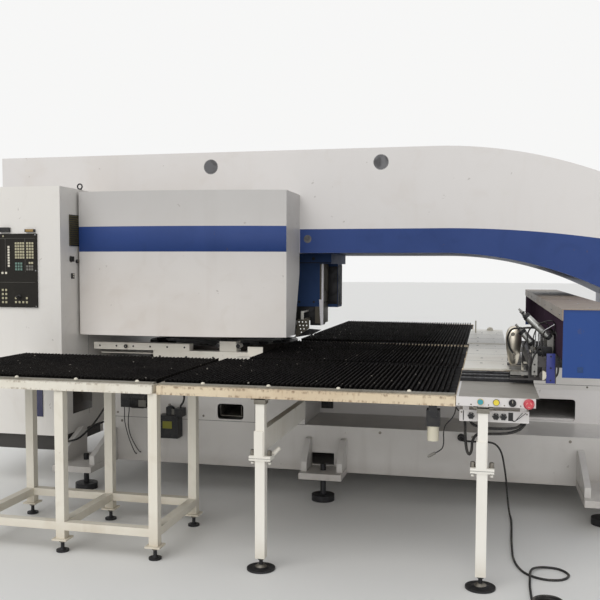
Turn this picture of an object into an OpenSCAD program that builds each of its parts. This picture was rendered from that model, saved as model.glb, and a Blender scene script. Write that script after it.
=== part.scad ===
// Turret punch press with a closed bridge frame, two round turrets, brush tables
// and a cross beam that carries the sheet clamps.
// Millimetres. +X to the operator's right, +Y away from the operator, +Z up.
// The origin is on the floor, under the middle of the machine.

/* [Bridge frame] */
// Overall length of the bridge frame
frame_len = 5350; // [5300:10:5500]
// Height of the frame's flat top above the floor
frame_top = 2380; // [2350:5:2450]
// Thickness of the frame, front to back
frame_depth = 1300; // [1280:10:1340]
// Thickness of the frame's welded plates
frame_plate = 25; // [20:1:30]
// Height of the window's sill, on which the table rails stand
sill_top = 760; // [750:1:765]
// Height of the arm's underside
arm_under = 1635; // [1630:1:1660]
// Where the window starts on the left
window_left = -1780; // [-1800:5:-1760]
// Where the window ends on the right
window_right = 1950; // [1950:5:2000]
// Where the flat top starts to arch down
arch_start = 700; // [600:10:800]
// Radius of the arched top
arch_r = 3100; // [3000:10:3300]
// Radius of the arched underside
under_r = 2550; // [2500:10:2700]
// Radius of the large lifting holes in the arm
lift_hole_r = 52; // [40:1:60]
// Radius of the small hole in the blue band
band_hole_r = 29; // [20:1:35]

/* [Base] */
// Left end of the base box
base_left = -1500; // [-1520:5:-1480]
// Right end of the base box
base_right = 2600; // [2500:10:2650]
// Half the base's width, front to back
base_half = 1150; // [1130:5:1170]
// Height of the base's underside above the floor
base_low = 160; // [150:1:175]
// Height of the base's ledge
ledge_top = 470; // [460:1:480]
// Plate thickness of the base box
base_plate = 20; // [12:1:25]
// Right end of the front casing beside the ledge
casing_right = -110; // [-150:5:-80]
// Top of the front casing
casing_top = 860; // [840:1:864]
// Sheet thickness of casings and covers
sheet_t = 4; // [3:0.5:5]
// Thickness of an outrigger's foot plate
foot_plate_t = 40; // [34:1:50]
// Width of an outrigger's foot plate
foot_plate_w = 280; // [250:5:300]

/* [Turrets] */
// Distance of the turret's axis from the machine's middle
turret_x = -1050; // [-1060:1:-1045]
// Radius of both turrets
turret_r = 610; // [595:1:612]
// Radius of the ring of tool stations
track_r = 520; // [510:1:530]
// Number of places on the ring; every fifth one is empty
stations = 20; // [20:20:40]
// Underside of the upper turret
upper_low = 985; // [982:1:990]
// Thickness of the upper turret
upper_t = 125; // [115:1:130]
// Top of the lower turret
lower_top = 935; // [930:1:938]
// Thickness of the lower turret
lower_t = 135; // [120:1:140]
// Radius of the turret spindles
spindle_r = 70; // [60:1:80]
// Radius of a punch's shank
punch_r = 28; // [22:0.5:30]
// Radius of a die
die_r = 38; // [34:0.5:40]
// Stroke of the ram
ram_stroke = 37; // [30:1:37]
// Radius of the ram
ram_r = 45; // [40:1:48]
// Running clearance of shafts and slides
fit = 0.05; // [0.03:0.01:0.08]
// Gap between parts that move past each other
gap = 0.3; // [0.2:0.1:0.5]

/* [Tables] */
// Height of the tables' steel edges
table_top = 920; // [915:1:925]
// Height of the brush tips above the steel edge
brush_h = 25; // [20:1:27]
// Depth of the tables' edge rails
rail_h = 45; // [40:1:48]
// Width of the edge rails' flanges
rail_w = 80; // [60:1:100]
// Thickness of the edge rails
rail_t = 5; // [4:0.5:8]
// Distance between two rows of brushes
brush_pitch = 25; // [20:1:40]
// Width of a row of brushes
brush_w = 11; // [8:1:14]
// Front edge of the tables
table_front = -2600; // [-2610:1:-2590]
// Seam between the front and the centre table
seam_front = -645; // [-660:1:-640]
// Seam between the centre and the rear table
seam_rear = 600; // [580:1:620]
// Right edge of the brush tables
table_right = 937; // [930:1:945]
// Left edge of the table beside the turret
table_left = -430; // [-435:1:-425]
// Left edge of the front table
front_left = -568; // [-575:1:-560]
// Gap between the side table and the front table
table_gap = 26; // [20:1:32]
// Width of a leg of the main tables
leg_w = 50; // [46:1:56]
// Width of a leg of the side table
side_leg_w = 50; // [44:1:54]

/* [Cross beam] */
// Left face of the blue beam cover
cover_left = 1420; // [1415:1:1425]
// Right face of the blue beam cover
cover_right = 1680; // [1675:1:1690]
// Front end of the beam cover
beam_front = -2544; // [-2560:1:-2530]
// Rear end of the beam cover
beam_rear = 1250; // [1200:5:1300]
// Underside of the beam cover's end
cover_low = 1020; // [1015:1:1025]
// Top of the beam cover
cover_top = 1335; // [1330:1:1345]
// Radius of the ball screws
screw_r = 16; // [14:0.5:18]
// Length of the carriage along the beam
carriage_len = 900; // [880:10:940]
// Middle of the carriage at rest
carriage_y = -1780; // [-1800:5:-1770]

/* [Cabinet] */
// Right side of the control cabinet
cabinet_right = -1765; // [-1775:1:-1760]
// Left side of the control cabinet
cabinet_left = -2600; // [-2610:1:-2590]
// Front of the control cabinet
cabinet_front = -1400; // [-1420:5:-1390]
// Underside of the control cabinet
cabinet_low = 360; // [350:1:370]
// Top of the control cabinet
cabinet_top = 2077; // [2060:1:2090]

/* [Hidden] */

$fn = 48;

// Colours
white_paint = [0.86, 0.85, 0.83];
cream_paint = [0.86, 0.83, 0.74];
blue_paint = [0.13, 0.20, 0.47];
navy_paint = [0.06, 0.10, 0.26];
dark_plastic = [0.06, 0.06, 0.07];
steel = [0.60, 0.61, 0.62];
brush_black = [0.05, 0.05, 0.05];

// A block given by its spans along x, y and z
module block(x, y, z) {
    translate([x[0], y[0], z[0]]) cube([x[1] - x[0], y[1] - y[0], z[1] - z[0]]);
}

// A round bar along x, y or z between two coordinates
module bar_x(x, y, z, r) {
    translate([x[0], y, z]) rotate([0, 90, 0]) cylinder(r = r, h = x[1] - x[0]);
}
module bar_y(x, y, z, r) {
    translate([x, y[0], z]) rotate([-90, 0, 0]) cylinder(r = r, h = y[1] - y[0]);
}
module bar_z(x, y, z, r) {
    translate([x, y, z[0]]) cylinder(r = r, h = z[1] - z[0]);
}

// Extrudes an outline drawn in x and z along y
module along_y(y) {
    translate([0, y[1], 0]) rotate([90, 0, 0]) linear_extrude(y[1] - y[0]) children();
}

// How far an arc of radius r has dropped at x, when it leaves the level at x0
function arc_drop(x, x0, r) = x <= x0 ? 0 : r - sqrt(r * r - (x - x0) * (x - x0));

// Bridge frame
arch_steps = 24;
frame_front = -frame_depth / 2;
frame_back = frame_depth / 2;
under_start = 750;
window_corner = arm_under - arc_drop(window_right, under_start, under_r);
frame_end_x = frame_len / 2;
housing_cut = [1380, 1677];
housing_cut_z = [480, 632];
housing_corner_r = 22;

// Points of the frame's outside, moved in by w
function frame_outside(w) = concat(
    [[-frame_end_x + w, ledge_top + w], [frame_end_x - w, ledge_top + w]],
    [for (i = [arch_steps:-1:0])
        let (x = arch_start + (frame_end_x - w - arch_start) * i / arch_steps)
        [x, frame_top - w - arc_drop(x, arch_start, arch_r - w)]],
    [[-frame_end_x + w, frame_top - w]]);

// Points of the frame's window, moved out by w
function frame_window(w) = concat(
    [[window_left - w, sill_top - w], [window_right + w, sill_top - w]],
    [for (i = [arch_steps:-1:0])
        let (x = under_start + (window_right + w - under_start) * i / arch_steps)
        [x, arm_under + w - arc_drop(x, under_start, under_r + w)]],
    [[window_left - w, arm_under + w]]);

lift_holes = [[-943, frame_top - 106], [326, frame_top - 102]];
band_hole = [-205, arm_under + 102];
punch_x = turret_x + track_r;
ram_bore = ram_r + fit;
drive_r = 130;
pin_r = 20;
pin_z_upper = upper_low + upper_t / 2;
pin_z_lower = lower_top - lower_t / 2;
slug_r = 60;
slot_x = [-728, -541];
slot_z = [484, 590];
chute_half = 80;
chute_wall = 4;
chute_h = 75;
chute_back = 70;
chute_front = -base_half + sheet_t + 6;
chute_z = 680;
chute_end_z = 540;
chute_tilt = atan2(chute_z - chute_end_z, -chute_front);
chute_yaw = atan2(punch_x - (slot_x[0] + slot_x[1]) / 2, -chute_front);
chute_len = norm([chute_front, chute_z - chute_end_z]);
chute_hole_x = [-690, -490];
chute_hole_z = [555, 655];
chute_foot_y = [-960, -920];
chute_foot_x = [-650, -580];
seat = 0.2;
slot_plate_x = [-880, -460];
slot_plate_top = casing_top - 14;

module bridge_frame() color(white_paint) difference() {
    along_y([frame_front, frame_back]) difference() {
        polygon(frame_outside(0));
        polygon(frame_window(0));
    }
    along_y([frame_front + frame_plate, frame_back - frame_plate]) difference() {
        polygon(frame_outside(frame_plate));
        polygon(frame_window(frame_plate));
    }
    for (p = lift_holes)
        bar_y(p[0], [frame_front - 1, frame_front + frame_plate + 1], p[1], lift_hole_r);
    bar_y(band_hole[0], [frame_front - 1, frame_front + frame_plate + 1], band_hole[1], band_hole_r);
    // Seats of the two turret drives
    bar_z(turret_x, 0, [arm_under - 1, arm_under + frame_plate + 1], drive_r);
    bar_z(turret_x, 0, [sill_top - frame_plate - 1, sill_top + 1], drive_r);
    // Bores of the index pins
    for (z = [pin_z_upper, pin_z_lower])
        bar_x([window_left - frame_plate - 1, window_left + 1], 0, z, pin_r + fit);
    // Way of the slugs
    bar_z(punch_x, 0, [sill_top - frame_plate - 1, sill_top + 1], slug_r);
    block(chute_hole_x, [frame_front - 1, frame_front + frame_plate + 1], chute_hole_z);
    // Opening with rounded corners on the right
    hull() for (x = [housing_cut[0], housing_cut[1] - housing_corner_r],
                z = [housing_cut_z[0] + housing_corner_r, housing_cut_z[1] - housing_corner_r])
        bar_y(x, [frame_front - 1, frame_front + frame_plate + 1], z, housing_corner_r, $fn = 32);
}

// Round plugs that close the lifting holes
plug_t = 8;
plug_in = 14;
module frame_plugs() color(dark_plastic) {
    for (p = lift_holes)
        bar_y(p[0], [frame_front + plug_in, frame_front + plug_in + plug_t], p[1], lift_hole_r);
    bar_y(band_hole[0], [frame_front + plug_in, frame_front + plug_in + plug_t], band_hole[1], band_hole_r);
}

// Turret cover: a bowed sheet front with sides, top and a cut back rear corner
tc_left = -1750;
tc_right = -265;
tc_low = upper_low + 64;
tc_top = frame_top - 324;
tc_bow_r = 4600;
tc_bow_x = -1350;
tc_front = -1180;
tc_steps = 16;
tc_cut_z = 440;
tc_cut_y = 150;

// Outline of the bowed front, standing w proud of it, from left to right
function bow_y(x, w) = tc_front + tc_bow_r - sqrt(pow(tc_bow_r + w, 2) - pow(x - tc_bow_x, 2));
function cover_arc(w) = [for (i = [0:tc_steps])
    let (x = tc_left + (tc_right - tc_left) * i / tc_steps) [x, bow_y(x, w)]];
function cover_arc_back(w) = [for (i = [tc_steps:-1:0])
    let (x = tc_left + (tc_right - tc_left) * i / tc_steps) [x, bow_y(x, w)]];
function cover_arc_in(t) = [for (i = [tc_steps:-1:0])
    let (x = tc_left + t + (tc_right - tc_left - 2 * t) * i / tc_steps) [x, bow_y(x, -t)]];

module turret_cover() color(white_paint) difference() {
    translate([0, 0, tc_low]) linear_extrude(tc_top - tc_low)
        polygon(concat(cover_arc(0), [[tc_right, frame_front], [tc_left, frame_front]]));
    translate([0, 0, tc_low - 1]) linear_extrude(tc_top - tc_low - sheet_t + 1)
        polygon(concat(cover_arc_in(sheet_t),
            [[tc_left + sheet_t, frame_front + 1], [tc_right - sheet_t, frame_front + 1]]));
    // Lower rear corner of the right side
    translate([tc_right - sheet_t - 1, 0, 0]) rotate([90, 0, 90]) linear_extrude(sheet_t + 2)
        polygon([[frame_front - tc_cut_y, tc_low - 1], [frame_front + 1, tc_low - 1],
                 [frame_front + 1, tc_low + tc_cut_z]]);
}

// Lifting eyes on top of the control cabinet
eye_x = [cabinet_left + 33, cabinet_right - 33];
eye_y = -1050;
eye_r = 18;
eye_wire_r = 5;
eye_stud_r = 8;
module lifting_eyes() color(steel) for (x = eye_x) union() {
    bar_z(x, eye_y, [cabinet_top, cabinet_top + 8], eye_stud_r * 2);
    translate([x, eye_y, cabinet_top + 6 + eye_r + eye_wire_r]) rotate([90, 0, 0])
        rotate_extrude() translate([eye_r, 0]) circle(r = eye_wire_r, $fn = 16);
}

// White bars, tool block and plates seen under the turret cover
bar_y_span = [-1040, -960];
bar_front_x = [-1706, -973];
bar_base_x = [-1250, -545];
bar_z_span = [casing_top + 76, casing_top + 126];
shelf_left = -1690;
shelf_z = [casing_top + 40, casing_top + 48];
wedge_x = [-590, table_left - 6];
wedge_front = -1230;
wedge_top = table_top - rail_t;
stop_plate_top = casing_top + 117;
tool_block_x = [-762, -638];
tool_block_y = [-1000, -900];
tool_block_top = casing_top + 148;
tool_pin_r = 16;
tool_pin_y = [-1000, -930];
latch_x = -1450;
latch_r = 12;
latch_len = 22;
module tool_change_bars() color(white_paint) {
    block(bar_front_x, bar_y_span, bar_z_span);
    block(bar_base_x, [bar_y_span[0] + 10, bar_y_span[1]], [casing_top, bar_z_span[0]]);
    block([shelf_left, bar_base_x[1]], [bar_y_span[1], frame_front], shelf_z);
    block(wedge_x, [wedge_front, bar_y_span[0] + 10], [casing_top, wedge_top]);
    block(tool_block_x, tool_block_y, [bar_z_span[0], tool_block_top]);
    block([bar_base_x[1], wedge_x[1]], [bar_y_span[0] + 4, bar_y_span[0] + 16], [casing_top, stop_plate_top]);
    for (x = [tool_block_x[0] - tool_pin_r + 3, tool_block_x[1] + tool_pin_r - 3])
        bar_y(x, tool_pin_y, bar_z_span[1] - 10, tool_pin_r);
    bar_y(latch_x, [bar_y_span[0] - latch_len, bar_y_span[0]], (bar_z_span[0] + bar_z_span[1]) / 2, latch_r);
}

// Ram housing under the arm
ramh_x = [-740, -180];
ramh_y = [-300, 300];
ramh_low = 1230;
ram_block_low = 1560;
punch_rest = upper_low + upper_t + ram_stroke + 1;
punch_head_t = 12;
punch_head_r = 34;
ram_tip = punch_rest + punch_head_t + gap;
ram_top = ramh_low + 250;
module ram_housing() color(navy_paint) difference() {
    union() {
        block(ramh_x, ramh_y, [ramh_low, ram_block_low]);
        block([ramh_x[0] - 20, ramh_x[1] + 90], [ramh_y[0] - 20, ramh_y[1] + 20], [ram_block_low, arm_under]);
        block([ramh_x[1] - 1, ramh_x[1] + 90], [-40, 150], [ramh_low - 15, ram_block_low + 1]);
    }
    bar_z(punch_x, 0, [ramh_low - 1, ram_top + 20], ram_bore);
    bar_z(turret_x, 0, [ramh_low - 1, arm_under + 1], drive_r + 2);
}

module ram_side_plate() color(white_paint) union() {
    block([ramh_x[1], ramh_x[1] + 14], [-300, -60], [1100, ram_block_low]);
    block([ramh_x[1] - 40, ramh_x[1]], [-300, -290], [1100, ramh_low - gap]);
}

module ram() color(steel) {
    bar_z(punch_x, 0, [ram_tip, ram_top], ram_r);
}

// Bearing housings and motors that carry and turn the two turrets
nut_r = 105;
nut_t = 28;
motor_r = 105;
module turret_drive(z_face, z_end, z_motor) {
    s = z_end > z_face ? 1 : -1;
    nut_z = z_end + s * gap;
    difference() {
        union() {
            translate([turret_x, 0, min(z_face, z_motor)])
                cylinder(r = drive_r, h = abs(z_motor - z_face));
        }
        bar_z(turret_x, 0, [min(z_face, z_end) - 2, max(z_face, z_end) + 2], spindle_r + fit);
        bar_z(turret_x, 0, s > 0 ? [z_end, z_end + nut_t + 4] : [z_end - nut_t - 4, z_end], nut_r + 4);
    }
}
upper_face = upper_low + upper_t + 100;
upper_end = arm_under + 110;
lower_face = lower_top - lower_t - 10;
lower_end = sill_top - 100;
module machine_drives() color(dark_plastic) {
    turret_drive(upper_face, upper_end, upper_end + 300);
    turret_drive(lower_face, lower_end, ledge_top + frame_plate);
    beam_drive();
}

module station(i, r) {
    a = i * 360 / stations;
    translate([turret_x + track_r * cos(a), track_r * sin(a), 0]) children();
}
filled = [for (i = [1:stations - 1]) if (i % 5 != 0) i];
pin_depth = 45;

module turret_disc(z, up, hole_r) {
    difference() {
        bar_z(turret_x, 0, z, turret_r);
        for (i = [0:stations - 1]) station(i) bar_z(0, 0, [z[0] - 1, z[1] + 1], hole_r);
        for (i = [0:stations - 1])
            translate([turret_x, 0, (z[0] + z[1]) / 2]) rotate([0, 0, i * 360 / stations])
                bar_x([turret_r - pin_depth, turret_r + 1], 0, 0, pin_r + fit);
        if (!up) for (i = [0:stations - 1]) station(i) bar_z(0, 0, [lower_top - die_seat, lower_top + 1], die_r);
    }
}
die_seat = 30;
die_proud = 10;
module upper_turret() color(steel)
    turret_disc([upper_low, upper_low + upper_t], true, punch_r + fit);
module lower_turret() color(steel)
    turret_disc([lower_top - lower_t, lower_top], false, die_r - 12);
module upper_spindle() color(steel) union() {
    bar_z(turret_x, 0, [upper_low + upper_t, upper_end + gap], spindle_r);
    bar_z(turret_x, 0, [upper_end + gap, upper_end + nut_t], nut_r);
}
module lower_spindle() color(steel) union() {
    bar_z(turret_x, 0, [lower_end - gap, lower_top - lower_t], spindle_r);
    bar_z(turret_x, 0, [lower_end - nut_t, lower_end - gap], nut_r);
}

punch_tip_r = 17;
module punch() {
    bar_z(0, 0, [upper_low - 4, upper_low + 16], punch_tip_r);
    bar_z(0, 0, [upper_low + 15, punch_rest], punch_r);
    bar_z(0, 0, [punch_rest, punch_rest + punch_head_t], punch_head_r);
}
module punches() color(steel) for (i = filled) station(i) punch();
module struck_punch() color(steel) station(0) punch();
module dies() color(dark_plastic) for (i = concat([0], filled)) station(i) difference() {
    bar_z(0, 0, [lower_top - die_seat, lower_top + die_proud], die_r);
    bar_z(0, 0, [lower_top - die_seat - 1, lower_top + die_proud + 1], die_r / 2);
}

// Pins that lock both turrets at a station
pin_rest = 10;
module index_pins() color(steel) for (z = [pin_z_upper, pin_z_lower]) union() {
    bar_x([window_left - 90, turret_x - turret_r - pin_rest], 0, z, pin_r);
    bar_x([window_left - 100, window_left - 90], 0, z, pin_r * 1.5);
}

// Base box with outrigger feet
base_hole_x = [-70, 94];
base_hole_z = [206, 287];
module base_box() color(white_paint) difference() {
    block([base_left, base_right], [-base_half, base_half], [base_low, ledge_top]);
    block([base_left + base_plate, base_right - base_plate],
        [-base_half + base_plate, base_half - base_plate], [base_low + base_plate, ledge_top - base_plate]);
    block(base_hole_x, [-base_half - 1, -base_half + base_plate + 1], base_hole_z);
}

slot_r = 22;
right_casing_z = [700, 868];
module base_casings() color(white_paint) {
    difference() {
        block([base_left, casing_right], [-base_half, frame_front], [ledge_top, casing_top]);
        block([base_left + sheet_t, casing_right - sheet_t], [-base_half + sheet_t, frame_front + 1],
            [ledge_top - 1, casing_top - sheet_t]);
        block([slot_plate_x[0] - seat, slot_plate_x[1] + seat], [-base_half - 1, -base_half + sheet_t + 1],
            [ledge_top - 1, slot_plate_top + seat]);
    }
    // Screwed plate with the slot
    difference() {
        block(slot_plate_x, [-base_half, -base_half + sheet_t], [ledge_top, slot_plate_top]);
        hull() for (x = [slot_x[0] + slot_r, slot_x[1] - slot_r], z = [slot_z[0] + slot_r, slot_z[1] - slot_r])
            bar_y(x, [-base_half - 1, -base_half + sheet_t + 1], z, slot_r, $fn = 32);
    }
    block([1340, 2500], [frame_front - sheet_t, frame_front], right_casing_z);
}

// One outrigger: a foot plate and two gussets against the base
gusset_t = 36;
gusset_h = 190;
module foot_bracket(x0, reach, side) {
    mirror([0, side < 0 ? 0 : 1, 0]) difference() {
        union() {
            block([x0, x0 + foot_plate_w], [-base_half - reach, -base_half],
                [base_low, base_low + foot_plate_t]);
            for (x = [x0 + 4, x0 + foot_plate_w - gusset_t - 4])
                translate([x, 0, 0]) rotate([90, 0, 90]) linear_extrude(gusset_t)
                    polygon([[-base_half - reach + 60, base_low + foot_plate_t],
                             [-base_half, base_low + foot_plate_t],
                             [-base_half, base_low + foot_plate_t + gusset_h],
                             [-base_half - 60, base_low + foot_plate_t + gusset_h],
                             [-base_half - reach + 60, base_low + foot_plate_t + 60]]);
        }
        translate([x0 + foot_plate_w / 2, -base_half - reach / 2, base_low - 1])
            cylinder(r = mount_screw_r + 1, h = foot_plate_t + 2);
    }
}
bracket_reach = [420, 240, 480];
bracket_left = [base_left - 12, -98, 1640];
module foot_brackets() color(white_paint) for (i = [0:2], side = [-1, 1])
    foot_bracket(bracket_left[i] - (i == 0 ? foot_plate_w - 40 : 0), bracket_reach[i], side);

// Levelling feet of the machine, of the main tables and of the side table
mount_screw_r = 18;
mount_pad_r = 75;
mount_pad_h = 40;
foot_screw_r = 10;
leg_foot_r = 72;
side_foot_r = 34;
side_foot_h = 74;
leg_foot_h = 60;
module machine_mount(x, y) {
    translate([x, y, 0]) {
        cylinder(r = mount_pad_r, h = mount_pad_h);
        cylinder(r = mount_screw_r, h = base_low + foot_plate_t + 40);
        translate([0, 0, base_low - 26]) cylinder(r = mount_screw_r * 2, h = 26);
    }
}
module table_foot(x, y, r, h) {
    translate([x, y, 0]) {
        cylinder(r = r, h = 10);
        translate([0, 0, 10]) cylinder(r1 = r * 0.6, r2 = foot_screw_r, h = 12);
        cylinder(r = foot_screw_r, h = h);
        translate([0, 0, h - 10]) cylinder(r = foot_screw_r * 1.8, h = 10, $fn = 6);
    }
}
module levelling_feet() color(steel) {
    for (i = [0:2], side = [-1, 1])
        machine_mount(bracket_left[i] - (i == 0 ? foot_plate_w - 40 : 0) + foot_plate_w / 2,
            side * (base_half + bracket_reach[i] / 2));
    for (x = leg_x) table_foot(x, -leg_y, leg_foot_r, leg_foot_h);
    for (x = rear_leg_x) table_foot(x, rear_leg_y, leg_foot_r, leg_foot_h);
    for (x = side_leg_x, y = side_leg_y) table_foot(x, y, side_foot_r, side_foot_h - 8);
}

// Chute that carries the slugs from the die to the slot in the casing
module chute_place() translate([punch_x, 0, chute_z]) rotate([chute_tilt, 0, -chute_yaw]) children();
module slug_chute() color(steel) {
    chute_place() block([-chute_half, chute_half], [-chute_len, chute_back],
        [-chute_h / 2, -chute_h / 2 + chute_wall]);
    for (side = [-1, 1])
        chute_place() translate([side * (chute_half - chute_wall / 2), 0, 0])
            block([-chute_wall / 2, chute_wall / 2], [-chute_len, chute_back],
                [-chute_h / 2 + chute_wall + seat, chute_h / 2]);
    difference() {
        block(chute_foot_x, chute_foot_y, [ledge_top, chute_end_z]);
        chute_place() block([-2 * chute_half, 2 * chute_half], [-2 * chute_len, chute_back],
            [-chute_h / 2 - seat, chute_h]);
    }
}

// Control cabinet
cab_back = frame_front;
door_gap = 2;
door_t = 20;
door_y = [cabinet_front + 20, cab_back - 30];
door_z = [cabinet_low + 40, cabinet_top - 27];
hinge_y = cab_back - 18;
hinge_x = cabinet_left - door_gap - door_t / 2;
hinge_r = 8;
hinge_h = 60;
hinge_levels = [door_z[0] + 120, (door_z[0] + door_z[1]) / 2, door_z[1] - 180];
plinth_low = 254;
module control_cabinet() color(white_paint) {
    difference() {
        block([cabinet_left, cabinet_right], [cabinet_front, cab_back], [cabinet_low, cabinet_top]);
        block([cabinet_left + sheet_t, cabinet_right - sheet_t], [cabinet_front + sheet_t, cab_back - sheet_t],
            [cabinet_low + sheet_t, cabinet_top - sheet_t]);
        block([cabinet_left - 1, cabinet_left + sheet_t + 1], [door_y[0] + 25, door_y[1] - 25],
            [door_z[0] + 25, door_z[1] - 25]);
        bar_x([cabinet_right - sheet_t - 1, cabinet_right + 1], isolator_y, isolator_z, isolator_shaft_r + fit);
    }
    block([cabinet_left + 60, plinth_right], [cabinet_front + 30, cab_back], [plinth_low, cabinet_low]);
    for (z = hinge_levels) {
        translate([hinge_x, hinge_y, z - hinge_h / 2 - gap]) cylinder(r = hinge_r, h = hinge_h / 2);
        block([hinge_x, cabinet_left + 1], [hinge_y + 3, hinge_y + 7], [z - hinge_h / 2 - gap, z - gap]);
    }
}
module cabinet_door() color(white_paint) difference() {
    union() {
        block([cabinet_left - door_gap - door_t, cabinet_left - door_gap], door_y, door_z);
        for (z = hinge_levels) {
            translate([hinge_x, hinge_y, z]) cylinder(r = hinge_r, h = hinge_h / 2);
            block([hinge_x - 2, hinge_x + 2], [door_y[1] - 1, hinge_y], [z, z + hinge_h / 2]);
        }
    }
    bar_x([cabinet_left - door_gap - door_t - 1, cabinet_left - door_gap + 1], handle_y, handle_z, handle_r + fit);
}
handle_y = door_y[0] + 60;
handle_z = 1250;
handle_r = 8;
module door_handle() color(dark_plastic) union() {
    bar_x([cabinet_left - door_gap - door_t - 14, cabinet_left - door_gap + 1], handle_y, handle_z, handle_r);
    hull() for (z = [handle_z, handle_z - 90])
        bar_x([cabinet_left - door_gap - door_t - 26, cabinet_left - door_gap - door_t - gap],
            handle_y, z, 14, $fn = 32);
}

isolator_y = -1254;
isolator_z = 1583;
isolator_r = 18;
isolator_shaft_r = 6;
module isolator_knob() color(dark_plastic) union() {
    bar_x([cabinet_right - 16, cabinet_right + 6], isolator_y, isolator_z, isolator_shaft_r);
    bar_x([cabinet_right + gap, cabinet_right + 16], isolator_y, isolator_z, isolator_r);
    block([cabinet_right + 12, cabinet_right + 24], [isolator_y - 4, isolator_y + 4],
        [isolator_z - isolator_r, isolator_z + isolator_r]);
}

// Vent grille, socket and small windows on the cabinet
vent_y = [-1274, -1100];
vent_z = [1674, 1892];
vent_slats = 14;
socket_y = [-1256, -1230];
socket_z = [1446, 1484];
module cabinet_fittings() color(dark_plastic) {
    difference() {
        block([cabinet_right, cabinet_right + 6], vent_y, vent_z);
        for (i = [0:vent_slats - 1])
            let (z = vent_z[0] + 8 + i * (vent_z[1] - vent_z[0] - 10) / vent_slats)
            block([cabinet_right + 2, cabinet_right + 7], [vent_y[0] + 8, vent_y[1] - 8], [z, z + 7]);
    }
    block([cabinet_right, cabinet_right + 12], socket_y, socket_z);
    bar_x([cabinet_right, cabinet_right + 14], -1176, 1568, 13);
    // Mounting plate and drive modules inside the cabinet
    union() {
        block([cabinet_left + 120, cabinet_right - 60], [cab_back - sheet_t - 30, cab_back - sheet_t],
            [cabinet_low + 120, cabinet_top - 120]);
        for (i = [0:4], z = [cabinet_low + 240, cabinet_low + 760, cabinet_low + 1260])
            let (x = cabinet_left + 150 + i * 120)
            block([x, x + 90], [cab_back - sheet_t - 200, cab_back - sheet_t - 29], [z, z + 300]);
    }
    block([-1958, -1912], [cabinet_front - 4, cabinet_front], [491, 679]);
    block([cabinet_right, cabinet_right + 4], [-1253, -974], [493, 653]);
    block([-2214, -2140], [cabinet_front - 22, cabinet_front], [1765, 1798]);
    block([-2020, -1950], [cabinet_front - 22, cabinet_front], [1765, 1785]);
}

// Operator panel with its display, key fields and joystick seat
panel_x = [-2500, -1937];
panel_z = [1248, 1755];
panel_t = 12;
stick_x = -2072;
stick_z = 1322;
stick_ball_r = 8;
// Key fields: left, bottom, columns, rows, pitch across, pitch up
key_fields = [
    [-2100, 1584, 4, 6, 19, 19.5], [-2013, 1584, 3, 6, 20, 19.5], [-2156, 1527, 1, 8, 19, 18.5],
    [-2100, 1503, 3, 3, 20, 20], [-2015, 1503, 3, 2, 19, 20], [-1996, 1547, 2, 1, 19, 20],
    [-2206, 1478, 2, 1, 28, 28], [-2206, 1276, 2, 4, 26, 28], [-2106, 1305, 2, 1, 84, 28],
    [-2106, 1277, 4, 1, 28, 28]];
key_w = 14;
key_t = 3;
display_x = [-2470, -2235];
display_z = [1500, 1720];
module cnc_panel() color(dark_plastic) difference() {
    union() {
        block(panel_x, [cabinet_front - panel_t, cabinet_front], panel_z);
        for (k = key_fields, i = [0:k[2] - 1], j = [0:k[3] - 1])
            let (x = k[0] + i * k[4], z = k[1] + j * k[5])
            block([x, x + key_w], [cabinet_front - panel_t - key_t, cabinet_front - panel_t],
                [z, z + key_w]);
        block([display_x[0] - 12, display_x[1] + 12], [cabinet_front - panel_t - 5, cabinet_front - panel_t],
            [display_z[0] - 12, display_z[1] + 12]);
        bar_y(stick_x, [cabinet_front - panel_t - 6, cabinet_front - panel_t], stick_z, stick_ball_r + 7);
    }
    block(display_x, [cabinet_front - panel_t - 6, cabinet_front - panel_t - 2], display_z);
    bar_y(stick_x, [cabinet_front - panel_t - 7, cabinet_front - 3], stick_z, stick_ball_r + fit);
}
module joystick() color(dark_plastic) union() {
    translate([stick_x, cabinet_front - panel_t, stick_z]) sphere(r = stick_ball_r);
    bar_y(stick_x, [cabinet_front - panel_t - 34, cabinet_front - panel_t], stick_z, 4);
    translate([stick_x, cabinet_front - panel_t - 36, stick_z]) sphere(r = 9);
}

// Tables
table_rear = 2640;
step_y = -1420;
rail_low = table_top - rail_h;
board_t = 15;
slot_front = -20;
slot_back = 100;
slot_end = 100;
seam = 4;
leg_x = [-20, 1066];
leg_y = 2570;
rear_leg_x = [-330, 850];
rear_leg_y = table_rear + table_front + leg_y;
side_left = -2000;
side_right = front_left - table_gap;
side_rear = -1450;
side_leg_x = [-1655, -1130, side_right - 4];
side_leg_y = [table_front + 15 + side_leg_w / 2, -1980];
bearer_w = 40;

// An edge rail of angle section along a straight side; d points into the table
module edge_rail(x, y, d) {
    block(x, y, [table_top - rail_t, table_top]);
    if (d == "front") block(x, [y[0], y[0] + rail_t], [rail_low, table_top]);
    if (d == "back") block(x, [y[1] - rail_t, y[1]], [rail_low, table_top]);
    if (d == "left") block([x[0], x[0] + rail_t], y, [rail_low, table_top]);
    if (d == "right") block([x[1] - rail_t, x[1]], y, [rail_low, table_top]);
}
thin_w = 24;
module rail_frame(x, y, front_w, back_w) {
    edge_rail(x, [y[0], y[0] + front_w], "front");
    edge_rail(x, [y[1] - back_w, y[1]], "back");
    edge_rail([x[0], x[0] + thin_w], y, "left");
    edge_rail([x[1] - thin_w, x[1]], y, "right");
    n = max(1, round((x[1] - x[0]) / 480));
    for (i = [1:n - 1])
        let (c = x[0] + (x[1] - x[0]) * i / n)
        block([c - bearer_w / 2, c + bearer_w / 2], [y[0] + rail_t - 1, y[1] - rail_t + 1],
            [rail_low, table_top - board_t]);
}
post_w = 50;
post_x = [-380, 250, 880];
splice_x = [-300, 700];
apron_right = 1303;
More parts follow.
